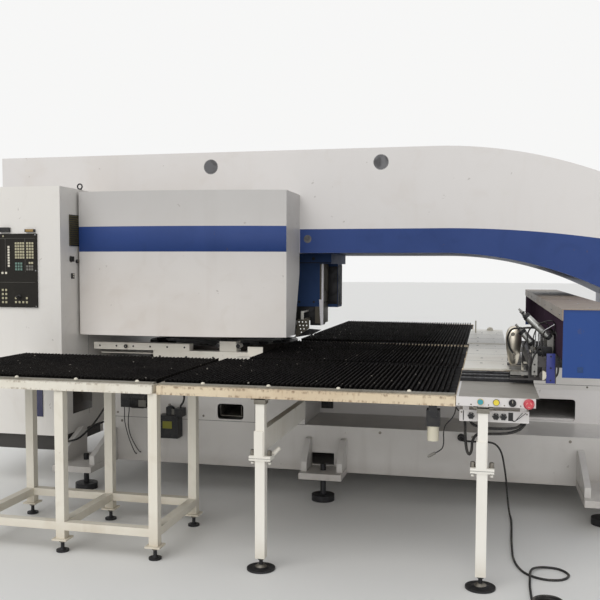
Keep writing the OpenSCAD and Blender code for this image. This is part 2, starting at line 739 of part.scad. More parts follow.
module table_frames() color(cream_paint) {
    // Front table with the bearers of the apron
    union() {
        rail_frame([front_left, table_right], [table_front, step_y], rail_w, thin_w);
        rail_frame([table_left, table_right], [step_y - 1, seam_front - seam], thin_w, thin_w);
        for (y = [table_front + 60, -2010, -1680])
            block([table_right - 1, apron_right - 6], [y, y + bearer_w], [rail_low, table_top - rail_t]);
        for (y = [-1560, -1000])
            block([table_right - 1, plate_x[1]], [y, y + bearer_w], [rail_low, plate_z[0]]);
        for (x = splice_x)
            block([x, x + bearer_w], [seam_front - seam - 1, seam_front - gap], [rail_low, table_top - board_t]);
    }
    // Rear table
    union() {
        rail_frame([table_left, table_right], [seam_rear + seam, table_rear], thin_w, rail_w);
        for (y = [700, 1500])
            block([table_right - 1, plate_x[1]], [y, y + bearer_w], [rail_low, plate_z[0]]);
        for (x = splice_x)
            block([x, x + bearer_w], [seam_rear + gap, seam_rear + seam + 1], [rail_low, table_top - board_t]);
    }
    // Centre table, slotted for the beam's riser, on posts that stand on the sill
    union() {
        rail_frame([table_left, table_right], [seam_front, slot_front], thin_w, thin_w);
        rail_frame([table_left, table_right], [slot_back, seam_rear], thin_w, thin_w);
        block([table_left, slot_end - 60], [slot_front - thin_w, slot_back + thin_w], [rail_low, table_top]);
        for (x = post_x, y = [seam_front + 30, seam_rear - 30 - post_w])
            block([x, x + post_w], [y, y + post_w], [sill_top, rail_low + 1]);
        for (x = post_x, y = [[seam_front, slot_front], [slot_back, seam_rear]])
            block([x, x + post_w], [y[0] + rail_t - 1, y[1] - rail_t + 1], [rail_low, table_top - board_t]);
        for (y = [-560, 300])
            block([table_right - 1, plate_x[1]], [y, y + bearer_w], [rail_low, plate_z[0]]);
    }
}

module side_table_frame() color(cream_paint) union() {
    rail_frame([side_left, side_right], [table_front, side_rear], rail_w, thin_w);
    for (x = side_leg_x, y = side_leg_y)
        block([x - side_leg_w / 2, x + side_leg_w / 2], [y - side_leg_w / 2, y + side_leg_w / 2],
            [side_foot_h, rail_low + 1]);
    for (y = side_leg_y)
        block([side_leg_x[0], side_leg_x[2]], [y - side_leg_w / 2, y + side_leg_w / 2], side_rail_z);
    for (x = side_leg_x)
        block([x - side_leg_w / 2, x + side_leg_w / 2], side_leg_y, side_rail_z);
    block([side_leg_x[0] - side_leg_w / 2, side_right],
        [side_leg_y[1] - side_leg_w / 2, side_leg_y[1] + side_leg_w / 2], [rail_low - 40, rail_low + 1]);
    // Blocks that join it to the front table
    for (y = [-2300, -1600]) block([side_right - 1, front_left], [y, y + bearer_w], [rail_low, table_top - board_t]);
    // Foot plates under the legs
    for (x = side_leg_x, y = side_leg_y)
        block([x - 42, x + 42], [y - 42, y + 42], [side_foot_h - 8, side_foot_h + 1]);
}
side_rail_z = [122, 166];

// A board with rows of brushes that run from front to back
module brush_field(x, y) {
    block(x, y, [table_top - board_t, table_top]);
    n = floor((x[1] - x[0] - brush_w) / brush_pitch);
    margin = (x[1] - x[0] - n * brush_pitch - brush_w) / 2;
    for (i = [0:n])
        let (c = x[0] + margin + i * brush_pitch)
        block([c, c + brush_w], y, [table_top - 1, table_top + brush_h]);
}
lip = 0.5;
module brush_panels() color(brush_black) {
    brush_field([side_left + thin_w + lip, side_right - thin_w - lip],
        [table_front + rail_w + lip, side_rear - thin_w - lip]);
    brush_field([front_left + thin_w + lip, table_right - thin_w - lip],
        [table_front + rail_w + lip, step_y - thin_w - lip]);
    brush_field([table_left + thin_w + lip, table_right - thin_w - lip],
        [step_y + thin_w + lip, seam_front - seam - thin_w - lip]);
    brush_field([table_left + thin_w + lip, table_right - thin_w - lip],
        [seam_front + thin_w + lip, slot_front - thin_w - lip]);
    brush_field([table_left + thin_w + lip, table_right - thin_w - lip],
        [slot_back + thin_w + lip, seam_rear - thin_w - lip]);
    brush_field([table_left + thin_w + lip, table_right - thin_w - lip],
        [seam_rear + seam + thin_w + lip, table_rear - rail_w - lip]);
}

// Legs of the main tables, each with a flanged joint and a brace to the table
flange_z = 572;
flange_t = 12;
flange_w = 112;
sleeve_top = 710;
brace_end = 1600;
bolt_r = 8;
leg_cap_z = 880;
module leg_support(x) {
    half = leg_w / 2;
    block([x - half, x + half], [-leg_y - half, -leg_y + half], [leg_foot_h, flange_z]);
    block([x - half + 2, x + half - 2], [-leg_y - half + 2, -leg_y + half - 2], [flange_z, leg_cap_z]);
    block([x - half + 2, x + half - 2], [-leg_y, -leg_y + half - 2], [leg_cap_z - 1, table_top - rail_t]);
    block([x - half - 4, x + half - 8], [-leg_y - half - 6, -leg_y + half], [flange_z, sleeve_top]);
    block([x - flange_w / 2, x + flange_w / 2], [-leg_y - half - 6, -leg_y + half + 26],
        [flange_z - flange_t, flange_z + flange_t]);
    block([x - half, x + half - 12], [-leg_y + half - 1, -brace_end], [flange_z + 28, sleeve_top]);
    block([x - half, x + half - 12], [-brace_end - 12, -brace_end], [flange_z + 28, rail_low]);
    for (dx = [-flange_w / 2 + 12, flange_w / 2 - 12])
        bar_z(x + dx, -leg_y, [flange_z - 32, flange_z + 38], bolt_r);
}
module leg_supports() color(white_paint) {
    for (x = leg_x) leg_support(x);
    for (x = rear_leg_x) translate([0, rear_leg_y - leg_y, 0]) mirror([0, 1, 0]) leg_support(x);
}

// Apron beside the front table, folded from one sheet, with the push buttons
apron_left = table_right + seam;
apron_back = -2055;
bar_low = 880;
bar_top = 924;
button_r = 11;
button_z = 902;
button_x = [1053, 1125, 1198, 1271];
bezel_r = 18;
module push_bar() difference() {
    union() {
        block([apron_left, apron_right], [table_front, table_front + sheet_t], [bar_low, bar_top]);
        block([apron_left, apron_right], [table_front, apron_back], [table_top - rail_t, bar_top]);
        block([apron_right - sheet_t, apron_right], [table_front, apron_back], [bar_low + 20, bar_top]);
        for (x = [button_x[0], button_x[1]])
            bar_y(x, [table_front - 8, table_front], button_z, bezel_r);
    }
    for (x = button_x)
        bar_y(x, [table_front - 20, table_front + sheet_t + 1], button_z, button_r + fit);
    for (x = [button_x[0], button_x[1]])
        bar_y(x, [table_front - 9, table_front - 1], button_z, bezel_r - 4);
}
module push_button(x, head_r, head) {
    bar_y(x, [table_front - head[1], table_front - head[0]], button_z, head_r);
    bar_y(x, [table_front - head[1], table_front + 24], button_z, button_r);
}
button_head = [8, 12];
stop_head = [8, 40];
module start_button() color([0.10, 0.55, 0.60]) push_button(button_x[0], bezel_r - 5, button_head);
module hold_button() color([0.85, 0.72, 0.12]) push_button(button_x[1], bezel_r - 5, button_head);
module selector_knob() color(dark_plastic) union() {
    push_button(button_x[2], 17, [gap, 14]);
    block([button_x[2] - 4, button_x[2] + 4], [table_front - 26, table_front - 14],
        [button_z - 15, button_z + 15]);
}
module stop_button() color([0.75, 0.12, 0.14]) union() {
    push_button(button_x[3], 16, [stop_head[0], 24]);
    translate([button_x[3], table_front - 24, button_z]) rotate([90, 0, 0])
        cylinder(r1 = 25, r2 = 18, h = stop_head[1] - 24);
}

// Terminal box behind the button bar, hung from the apron's bearers
box_x = [955, 1277];
box_y = [table_front + 60, table_front + 160];
box_z = [797, 852];
box_tab_x = [970, 1235];
box_tab_w = 30;
nipple_x = [1010, 1125, 1160];
nipple_r = 13;
nipple_len = 14;
module terminal_box() union() {
    block(box_x, box_y, box_z);
    for (x = box_tab_x)
        block([x, x + box_tab_w], [box_y[0] + 2, box_y[0] + bearer_w - 2], [box_z[1] - 1, rail_low]);
    for (x = nipple_x) bar_y(x, [box_y[0] - nipple_len, box_y[0]], (box_z[0] + box_z[1]) / 2, nipple_r);
}
module button_bar() color(white_paint) {
    push_bar();
    terminal_box();
}

filter_x = 833;
filter_low = 772;
filter_y = table_front + rail_t + 36;
module air_filter() color(dark_plastic) union() {
    block([filter_x - 32, filter_x + 32], [filter_y - 30, filter_y + 30], [filter_low, 852]);
    bar_z(filter_x, filter_y, [filter_low - 70, filter_low], 27);
    block([filter_x - 20, filter_x + 20], [table_front + rail_t, filter_y - 29], [820, 905]);
}

// Dark guide rails and the white plates between the brush tables and the beam
rails_y = [-2050, -1640];
plate_x = [947, 1222];
plate_z = [table_top + 10, table_top + 21];
plate_end = 1600;
plate_cut = 35;
module apron_rails() color(dark_plastic) union() {
    block([apron_left, 1322], rails_y, [table_top - rail_t, bar_top]);
    for (i = [0:2])
        let (y = rails_y[0] + 24 + i * 140)
        block([apron_left, 1322], [y, y + 62], [bar_top - 1, table_top + 18]);
}
module apron_plates() color(white_paint) {
    difference() {
        block(plate_x, [-plate_end, slot_front], plate_z);
        translate([plate_x[1], -plate_end, plate_z[0] - 1]) rotate([0, 0, 45])
            translate([-plate_cut, -plate_cut, 0]) cube([2 * plate_cut, 2 * plate_cut, 20]);
    }
    block([plate_x[0] - 18, plate_x[1]], [slot_back, plate_end], plate_z);
}

// Lubricator, valve and small box on the base's front wall
wall_y = -base_half;
module base_wall_units() color(dark_plastic) {
    // Lubricator tank with its pump head
    union() {
        block(lub_x, [wall_y - lub_depth, wall_y], lub_z);
        bar_z(pump_x, wall_y - lub_depth / 2, [lub_z[1] - 1, pump_top + 4], pump_r);
        block(pump_box_x, [wall_y - lub_depth + 5, wall_y - 12], [lub_z[1] - 5, pump_top]);
    }
    // Valve with its round body
    union() {
        bar_x([valve_x[1] - 1, valve_body_end], wall_y - valve_r - 16, valve_axis_z, valve_r);
        block(valve_x, [wall_y - valve_depth, wall_y], valve_z);
        block([valve_body_end - 1, valve_body_end + 32], [wall_y - 80, wall_y - 50],
            [valve_z[0] + 5, valve_z[0] + 35]);
    }
    // Small box on the wall above the ledge and the cable gland
    block(ledge_box_x, [frame_front - ledge_box_t, frame_front], ledge_box_z);
    union() {
        bar_y(gland[0], [wall_y - gland_t, wall_y], gland[2], gland_r);
        bar_y(gland[0], [gland[1], wall_y - gland_t], gland[2], gland_neck_r);
    }
}
lub_x = [-1122, -985];
lub_z = [350, 505];
lub_depth = 95;
pump_x = -1055;
pump_r = 30;
pump_box_x = [-1010, -955];
pump_top = 556;
valve_x = [-1402, -1334];
valve_z = [555, 650];
valve_depth = 100;
valve_body_end = -1228;
valve_axis_z = 598;
valve_r = 50;
ledge_box_x = [-92, -8];
ledge_box_z = [505, 562];
ledge_box_t = 22;
gland_t = 14;
gland_r = 24;
gland_neck_r = 15;
gland = [927, wall_y - 46, 436];

// Drive of the cross beam: rails, screw and motor on the sill
x_rail_y = [-350, 430];
x_rail_w = 34;
x_rail_top = sill_top + 50;
x_rail_span = [60, 1830];
screw_y = 40;
screw_z = sill_top + 35;
block_w = 84;
support_x = [[-130, -90], [1850, 1890]];
x_motor_left = -360;
x_motor_half = 45;
x_motor_h = 88;
module x_rails() color(steel) {
    for (y = x_rail_y)
        block(x_rail_span, [y - x_rail_w / 2, y + x_rail_w / 2], [sill_top, x_rail_top]);
    for (s = support_x) difference() {
        block(s, [screw_y - block_w / 2, screw_y + block_w / 2], [sill_top, screw_z + 26]);
        bar_x([s[0] - 1, s[1] + 1], screw_y, screw_z, screw_r + fit);
    }
}
module beam_drive()
    block([x_motor_left, support_x[0][0] - gap], [screw_y - x_motor_half, screw_y + x_motor_half],
        [sill_top, sill_top + x_motor_h]);
module x_screw() color(steel) bar_x([support_x[0][0], support_x[1][1]], screw_y, screw_z, screw_r);

saddle_x = [1340, 1740];
saddle_y = [-420, 500];
saddle_z = [830, 862];
riser_x = [1484, 1656];
riser_y = [0, 80];
beam_x = [1500, 1660];
beam_z = [1060, 1300];
module saddle() color(white_paint) difference() {
    union() {
        block(saddle_x, saddle_y, saddle_z);
        for (y = x_rail_y, x = [saddle_x[0], saddle_x[1] - 110])
            block([x, x + 110], [y - 48, y + 48], [sill_top + 18, saddle_z[0] + 1]);
        block([1500, 1580], [screw_y - 36, screw_y + 36], [sill_top + 8, saddle_z[0] + 1]);
        block(riser_x, riser_y, [saddle_z[1] - 1, beam_z[0]]);
        block(riser_x, [riser_y[0] - 150, riser_y[1] + 150], [beam_z[0] - 18, beam_z[0]]);
    }
    for (y = x_rail_y)
        block([saddle_x[0] - 1, saddle_x[1] + 1], [y - x_rail_w / 2 - gap, y + x_rail_w / 2 + gap],
            [sill_top, x_rail_top + gap]);
    bar_x([saddle_x[0] - 1, saddle_x[1] + 1], screw_y, screw_z, screw_r + fit);
}

// Cross beam with its cover and the drive of the carriage
beam_wall = 12;
y_rail_z = [1105, 1235];
y_rail_h = 22;
y_rail_left = 1484;
y_rail_x = [y_rail_left, beam_x[0]];
y_screw_x = 1462;
y_screw_z = 1181;
beam_end = [beam_front + 20, beam_rear - 20];
module crossbeam() color(white_paint) difference() {
    union() {
        block(beam_x, beam_end, beam_z);
        for (z = y_rail_z)
            block([y_rail_x[0], y_rail_x[1] + 1], [beam_end[0] + 60, beam_end[1] - 60], [z - y_rail_h / 2, z + y_rail_h / 2]);
        for (y = [beam_end[0], beam_end[1] - 40])
            block([1436, beam_x[0] + 1], [y, y + 40], [y_screw_z - 30, y_screw_z + 30]);
    }
    block([beam_x[0] + beam_wall, beam_x[1] - beam_wall], [beam_end[0] - 1, beam_end[1] + 1],
        [beam_z[0] + beam_wall, beam_z[1] - beam_wall]);
    for (y = [beam_end[0], beam_end[1] - 40])
        bar_y(y_screw_x, [y - 1, y + 41], y_screw_z, y_screw_r + fit);
}
y_screw_r = 12;
cover_skirt = 1100;
module beam_cover() color(blue_paint) union() {
    difference() {
        block([cover_left, cover_right], [beam_front, beam_rear], [cover_low, cover_top]);
        block([cover_left + sheet_t, cover_right - sheet_t], [beam_front + sheet_t, beam_rear - sheet_t],
            [cover_low - 1, cover_top - sheet_t]);
        block([cover_left - 1, cover_left + sheet_t + 1], [beam_front + sheet_t, beam_rear - sheet_t],
            [cover_low - 1, cover_skirt]);
    }
    for (y = [beam_end[0] + 200, (beam_front + beam_rear) / 2, beam_end[1] - 240])
        block([beam_x[0] + 20, beam_x[1] - 20], [y, y + 40], [beam_z[1], cover_top - sheet_t + 1]);
}
top_plate_t = 4;
y_motor_x = [1535, 1625];
y_motor_len = 200;
y_motor_half = 45;
belt_box_t = 14;
module beam_top_plate() color(white_paint) union() {
    block([cover_left - 6, cover_right + 6], [beam_front - 6, beam_rear + 6], [cover_top, cover_top + top_plate_t]);
    block([cover_left - 6, cover_left], [beam_front - 6, beam_rear + 6], [cover_top - 50, cover_top + 1]);
}
module y_screw() color(steel) bar_y(y_screw_x, [beam_end[0] + gap, beam_end[1] - gap], y_screw_z, y_screw_r);
module y_motor() color(dark_plastic) union() {
    block(y_motor_x, [beam_end[1] - y_motor_len, beam_end[1] + 1],
        [y_screw_z - y_motor_half, y_screw_z + y_motor_half]);
    block([y_screw_x - 22, y_motor_x[1]], [beam_end[1], beam_end[1] + belt_box_t],
        [y_screw_z - 39, y_screw_z + 41]);
}

// Carriage with its arm and three clamps
car_y = [carriage_y - carriage_len / 2, carriage_y + carriage_len / 2];
car_x = [1438, 1476];
car_top = 1262;
pad_len = 120;
arm_left = 1285;
arm_x = [arm_left, car_x[1]];
arm_z = [1030, 1086];
clamp_y = [-2085, -1850, -1420];
clamp_w = 70;
jaw_x = 1200;
pivot_x = 1306;
pivot_z = 1002;
pivot_r = 7;
mouth_z = [958, 972];
jaw_low = 948;
clamp_x = [1340, 1412];
end_plate_x = [1369, 1418];
end_plate_z = [950, 1100];
end_plate_t = 8;
cap_x = 1362;
cap_z = 990;
cap_r = 25;
module carriage() color(steel) difference() {
    union() {
        block(car_x, car_y, [arm_z[0], car_top]);
        block(arm_x, car_y, arm_z);
        for (z = y_rail_z, y = [car_y[0], car_y[1] - pad_len])
            block([car_x[1] - 1, y_rail_x[1] - gap], [y, y + pad_len], [z - 24, z + 24]);
        block([y_screw_x - 22, car_x[1]], [carriage_y - 40, carriage_y + 40], [y_screw_z - 24, y_screw_z + 24]);
        // Clamp bodies with their fixed lower jaws
        for (y = clamp_y) {
            block(clamp_x, [y - clamp_w / 2, y + clamp_w / 2], [jaw_low, arm_z[0] + 1]);
            block([jaw_x, clamp_x[1]], [y - clamp_w / 2, y + clamp_w / 2], [jaw_low, mouth_z[0]]);
            for (s = [-1, 1])
                block([pivot_x - 16, clamp_x[0] + 1], [y + s * (clamp_w / 2 - 5) - 5, y + s * (clamp_w / 2 - 5) + 5],
                    [jaw_low, arm_z[0] - 6]);
        }
        // Front end plate with a round cap
        block(end_plate_x, [car_y[0] - end_plate_t, car_y[0] + 1], end_plate_z);
        bar_y(cap_x, [car_y[0] - 6, car_y[0] + 40], cap_z, cap_r);
        block([cap_x - 12, cap_x + 12], [car_y[0], car_y[0] + 40], [cap_z, arm_z[0] + 1]);
    }
    for (z = y_rail_z)
        block([y_rail_x[0] - gap, y_rail_x[1] + 1], [car_y[0] - 1, car_y[1] + 1],
            [z - y_rail_h / 2 - gap, z + y_rail_h / 2 + gap]);
    bar_y(y_screw_x, [car_y[0] - 1, car_y[1] + 1], y_screw_z, y_screw_r + fit);
    for (y = clamp_y)
        bar_y(pivot_x, [y - clamp_w / 2 - 1, y + clamp_w / 2 + 1], pivot_z, pivot_r + fit);
}
module clamp_jaws() color(steel) for (y = clamp_y) union() {
    bar_y(pivot_x, [y - clamp_w / 2, y + clamp_w / 2], pivot_z, pivot_r);
    block([jaw_x, pivot_x + 10], [y - clamp_w / 2 + 12, y + clamp_w / 2 - 12], [mouth_z[1], mouth_z[1] + 18]);
    block([pivot_x - 14, pivot_x + 14], [y - clamp_w / 2 + 12, y + clamp_w / 2 - 12], [mouth_z[1], pivot_z + 12]);
}

// Air reservoir and slanted air cylinders on the carriage
tank_x = 1229;
tank_y = -1610;
tank_low = 972;
tank_profile = [[0, 0], [15, 0], [27, 18], [34, 55], [41, 98], [45, 140], [42, 180], [33, 205], [15, 219], [0, 221]];
tank_ear = [1045, 1075];
module air_cylinders() color(steel) {
    union() {
        translate([tank_x, tank_y, tank_low]) rotate_extrude() polygon(tank_profile);
        block([tank_x, arm_x[0]], [tank_y - 18, tank_y + 18], tank_ear);
    }
    for (c = slant_cyl) union() {
        translate([c[0], c[1], c[2]]) rotate([0, -c[3], 0]) {
            cylinder(r = c[5], h = c[4]);
            translate([0, 0, c[4] - 1]) cylinder(r = c[5] / 3, h = 46);
        }
        block([c[0] - 14, c[0] + 16], [c[1] - 12, c[1] + 12], [arm_z[1], c[2] + 14]);
    }
}
// Slanted cylinders: x, y, z of the lower end, angle, length, radius
slant_cyl = [[1392, -2150, 1172, 47, 170, 16], [1316, -2010, 1128, 42, 92, 18], [1392, -1890, 1160, 47, 150, 14]];

// Points on a smooth curve through a route, k between each two points
function at(p, i) = p[max(0, min(len(p) - 1, i))];
function blend(p, i, t) = 0.5 * (2 * at(p, i) + t * (at(p, i + 1) - at(p, i - 1))
    + t * t * (2 * at(p, i - 1) - 5 * at(p, i) + 4 * at(p, i + 1) - at(p, i + 2))
    + t * t * t * (3 * at(p, i) - at(p, i - 1) - 3 * at(p, i + 1) + at(p, i + 2)));
function smooth_route(p, k) = concat(
    [for (i = [0:len(p) - 2], j = [0:k - 1]) blend(p, i, j / k)], [p[len(p) - 1]]);
function unit(v) = v / norm(v);
function heading(p, i) = unit(at(p, i + 1) - at(p, i - 1));
// Side direction of a ring: level, or along x where the cable runs straight up or down
function side_of(d, s) = let (c = cross(d, s)) unit(cross(c, d));
function sides(p, i) = i == 0 ? side_of(heading(p, 0), [0.31, 0.2, 0.93])
    : side_of(heading(p, i), sides(p, i - 1));

// A tube swept along a route
module tube(route, r, k, n = 8) {
    p = smooth_route(route, k);
    s = [for (i = 0, v = sides(p, 0); i < len(p); i = i + 1,
        v = i < len(p) ? side_of(heading(p, i), v) : v) v];
    points = [for (i = [0:len(p) - 1]) let (d = heading(p, i), a = s[i], b = cross(d, a))
        for (j = [0:n - 1]) p[i] + r * (cos(360 * j / n) * a + sin(360 * j / n) * b)];
    last = (len(p) - 1) * n;
    polyhedron(points, concat(
        [[for (j = [0:n - 1]) j]],
        [for (i = [0:len(p) - 2], j = [0:n - 1])
            [i * n + j, (i + 1) * n + j, (i + 1) * n + (j + 1) % n, i * n + (j + 1) % n]],
        [[for (j = [n - 1:-1:0]) last + j]]));
}

// Cables that the machine holds at both ends
cable_r = 7;
wire_r = 3;
box_low = box_z[0];
loop_y = table_front + 130;
box_loop = [[1250, loop_y, box_low], [1250, loop_y, box_low - 13], [1222, loop_y - 8, box_low - 33],
    [1165, loop_y - 14, box_low - 40], [1085, loop_y - 16, box_low - 40], [1030, loop_y - 10, box_low - 31],
    [1008, loop_y, box_low - 15], [1008, loop_y, box_low]];
drop_y = table_front + 148;
box_drop = [[1266, drop_y, box_low], [1266, drop_y, box_low - 13], [1238, drop_y - 10, box_low - 45],
    [1178, drop_y - 16, box_low - 65], [1090, drop_y - 20, box_low - 71], [1042, drop_y - 22, box_low - 73],
    [1018, drop_y - 24, box_low - 107], [1014, drop_y - 22, box_low - 152], [1003, drop_y - 20, box_low - 175],
    [990, drop_y - 16, box_low - 152], [982, drop_y - 8, box_low - 77], [980, drop_y, box_low - 13],
    [980, drop_y, box_low]];
valve_wires = [[[-1395, wall_y - 56, valve_z[0]], [-1395, wall_y - 56, 524], [-1396, wall_y - 50, 440],
    [-1372, wall_y - 40, 330], [-1340, wall_y - 30, 240], [-1330, wall_y - 15, 212], [-1330, wall_y, 212]],
    [[-1360, wall_y - 56, valve_z[0]], [-1360, wall_y - 56, 524], [-1372, wall_y - 46, 450],
    [-1364, wall_y - 40, 360], [-1325, wall_y - 30, 270], [-1300, wall_y - 15, 225], [-1300, wall_y, 225]]];
tank_hose = [[-978, wall_y - 50, pump_top], [-978, wall_y - 50, pump_top + 16], [-960, wall_y - 48, 600],
    [-956, wall_y - 42, 640], [-984, wall_y - 32, 690], [-1030, wall_y - 16, 730], [-1030, wall_y, 730]];
plinth_right = cabinet_right - 70;
drop_cables = [[[base_left, wall_y + 150, 640], [base_left - 18, wall_y + 150, 640],
    [base_left - 70, wall_y + 70, 570], [base_left - 110, wall_y - 70, 440],
    [plinth_right + 175, cabinet_front + 50, 350], [plinth_right + 105, cabinet_front + 5, 326],
    [plinth_right + 45, cabinet_front + 25, 316], [plinth_right + 15, cabinet_front + 50, 310],
    [plinth_right, cabinet_front + 50, 310]],
    [[base_left, wall_y + 70, 430], [base_left - 16, wall_y + 70, 430], [base_left - 90, wall_y + 50, 420],
    [plinth_right + 155, cabinet_front + 290, 380], [plinth_right + 75, cabinet_front + 295, 335],
    [plinth_right + 17, cabinet_front + 310, 320], [plinth_right, cabinet_front + 310, 320]]];
module held_cables() color(dark_plastic) {
    tube(box_loop, cable_r, 4);
    tube(box_drop, cable_r, 3);
    for (r = valve_wires) tube(r, wire_r, 4, 6);
    tube(tank_hose, cable_r, 4);
    for (r = drop_cables) tube(r, cable_r, 4);
}

// Free cable from the gland down to the floor and on to the foot switch
floor_r = 6;
floor_route = [gland, gland - [0, 16, 0], gland + [3, -40, 0], gland + [23, -66, 0], gland + [83, -84, 2],
    gland + [153, -92, 6], gland + [213, -94, -6], [1178, wall_y - 142, 380], [1198, wall_y - 144, 290],
    [1212, wall_y - 148, 190],
    [1222, -1312, 80], [1232, -1360, 18], [1240, -1440, 6], [1238, -1600, 6], [1232, -1800, 6],
    [1230, -2000, 6], [1232, -2126, 6], [1250, -2250, 6], [1292, -2350, 6], [1370, -2402, 6],
    [1455, -2388, 6], [1494, -2316, 6], [1455, -2244, 6], [1382, -2236, 8], [1328, -2285, 16],
    [1308, -2350, 19], [1302, -2425, 12], [1298, -2510, 6], [1298, -2620, 6], [1300, -2700, 6],
    [1300, -2757, 6]];
module floor_cable() color(dark_plastic) tube(floor_route, floor_r, 2);

coil_at = [1365, -2760];
coil_mean = 65;
coil_turns = 3;
module floor_coil() color(dark_plastic) translate([coil_at[0], coil_at[1], 0])
    rotate_extrude() translate([coil_mean - floor_r - gap, 0])
        square([2 * (floor_r + gap), 2 * floor_r * coil_turns]);

switch_x = [1452, 1582];
switch_y = [-2880, -2780];
switch_z = 26;
pedal_pivot = [1470, 34];
pedal_r = 4;
relief_z = 16;
module foot_switch() color(dark_plastic) difference() {
    union() {
        block(switch_x, switch_y, [0, switch_z]);
        for (y = [switch_y[0], switch_y[1] - 10])
            block([switch_x[0], switch_x[0] + 34], [y, y + 10], [0, pedal_pivot[1] + 9]);
        translate([switch_x[0] + 1, coil_at[1] - coil_mean, relief_z]) rotate([0, -90, 0])
            cylinder(r1 = 11, r2 = floor_r + 1, h = 36);
        bar_x([coil_at[0], switch_x[0]], coil_at[1] - coil_mean, relief_z, floor_r);
    }
    bar_y(pedal_pivot[0], [switch_y[0] - 1, switch_y[1] + 1], pedal_pivot[1], pedal_r + fit);
}
module foot_pedal() color([0.75, 0.62, 0.12]) union() {
    bar_y(pedal_pivot[0], [switch_y[0], switch_y[1]], pedal_pivot[1], pedal_r);
    translate([pedal_pivot[0], 0, pedal_pivot[1]]) rotate([0, -9, 0])
        block([-6, 108], [switch_y[0] + 11, switch_y[1] - 11], [-3, 5]);
}

// Short lead that hangs from the table's edge and ends in a small connector
lead_r = 3;
lead_route = [[955, -2510, 842], [949, -2510, 842], [943, -2516, 851], [939, -2532, 860], [938, -2552, 853],
    [933, -2564, 834], [922, -2568, 813], [906, -2567, 795], [892, -2566, 777], [885, -2565, 755],
    [883, -2564, 732], [884, -2564, 708], [883, -2563, 684], [877, -2562, 664], [862, -2561, 650],
    [845, -2560, 640]];
module hanging_lead() color(dark_plastic) tube(lead_route, lead_r, 2);

// Small connector on the lead's end
plug_len = 34;
plug_tilt = 90 + atan2(10, 17);
module lead_connector() color(dark_plastic)
    translate(lead_route[len(lead_route) - 1]) rotate([0, -plug_tilt, 0]) {
        cylinder(r = 7, h = plug_len);
        translate([0, 0, plug_len - 1]) cylinder(r = 5, h = 9);
    }

base_box();
base_casings();
foot_brackets();
levelling_feet();
slug_chute();
bridge_frame();
frame_plugs();
lifting_eyes();
turret_cover();
tool_change_bars();
ram_housing();
ram_side_plate();
machine_drives();
control_cabinet();
cabinet_fittings();
cnc_panel();
cabinet_door();
door_handle();
isolator_knob();
joystick();
upper_turret();
upper_spindle();
punches();
struck_punch();
lower_turret();
lower_spindle();
dies();
ram();
index_pins();
table_frames();
side_table_frame();
brush_panels();
leg_supports();
button_bar();
start_button();
hold_button();
selector_knob();
stop_button();
air_filter();
apron_rails();
apron_plates();
base_wall_units();
held_cables();
x_rails();
x_screw();
saddle();
crossbeam();
beam_cover();
beam_top_plate();
y_screw();
y_motor();
carriage();
clamp_jaws();
air_cylinders();
floor_cable();
floor_coil();
foot_switch();
foot_pedal();
hanging_lead();
lead_connector();
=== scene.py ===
"""Looks of a turret punch press with brush tables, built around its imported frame.

Places and spans are in metres. Lathe profiles, broken edges, the radii of bolts and tubes, and the steps that are
given to off() are in millimetres.
"""

import logging
import math
import random
from dataclasses import dataclass
from enum import Enum
from itertools import product
from typing import Sequence, Union

import bmesh
import bpy
from mathutils import Matrix, Vector
from mathutils.geometry import tessellate_polygon


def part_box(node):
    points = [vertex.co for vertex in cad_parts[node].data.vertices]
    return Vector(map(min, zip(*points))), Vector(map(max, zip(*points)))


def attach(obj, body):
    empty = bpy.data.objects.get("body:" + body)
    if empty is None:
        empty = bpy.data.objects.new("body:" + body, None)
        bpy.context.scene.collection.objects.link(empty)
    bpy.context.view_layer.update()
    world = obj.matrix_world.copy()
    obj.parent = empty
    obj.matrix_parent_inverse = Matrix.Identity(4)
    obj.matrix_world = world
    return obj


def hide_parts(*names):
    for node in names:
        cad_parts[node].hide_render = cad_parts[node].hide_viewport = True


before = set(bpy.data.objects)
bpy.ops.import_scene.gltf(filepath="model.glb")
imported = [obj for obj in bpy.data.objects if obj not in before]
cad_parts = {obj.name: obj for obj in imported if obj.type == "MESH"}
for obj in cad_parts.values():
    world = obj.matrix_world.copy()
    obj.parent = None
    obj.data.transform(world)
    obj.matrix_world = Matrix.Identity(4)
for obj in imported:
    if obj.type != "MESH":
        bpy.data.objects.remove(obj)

log = logging.getLogger("press")
MM = 0.001
Pair = tuple[float, float]
Point = tuple[float, float, float]
Colour = tuple[float, float, float]
Places = Union[float, Sequence[float]]


def tone(red: float, green: float, blue: float) -> Colour:
    """Turns a colour that is written as seen on a screen into linear light.

    Args:
        red: Its red, from 0 to 255.
        green: Its green.
        blue: Its blue.

    Returns:
        The linear colour.
    """
    return tuple(
        (c / 255 / 12.92) if c <= 10 else ((c / 255 + 0.055) / 1.055) ** 2.4
        for c in (red, green, blue)
    )


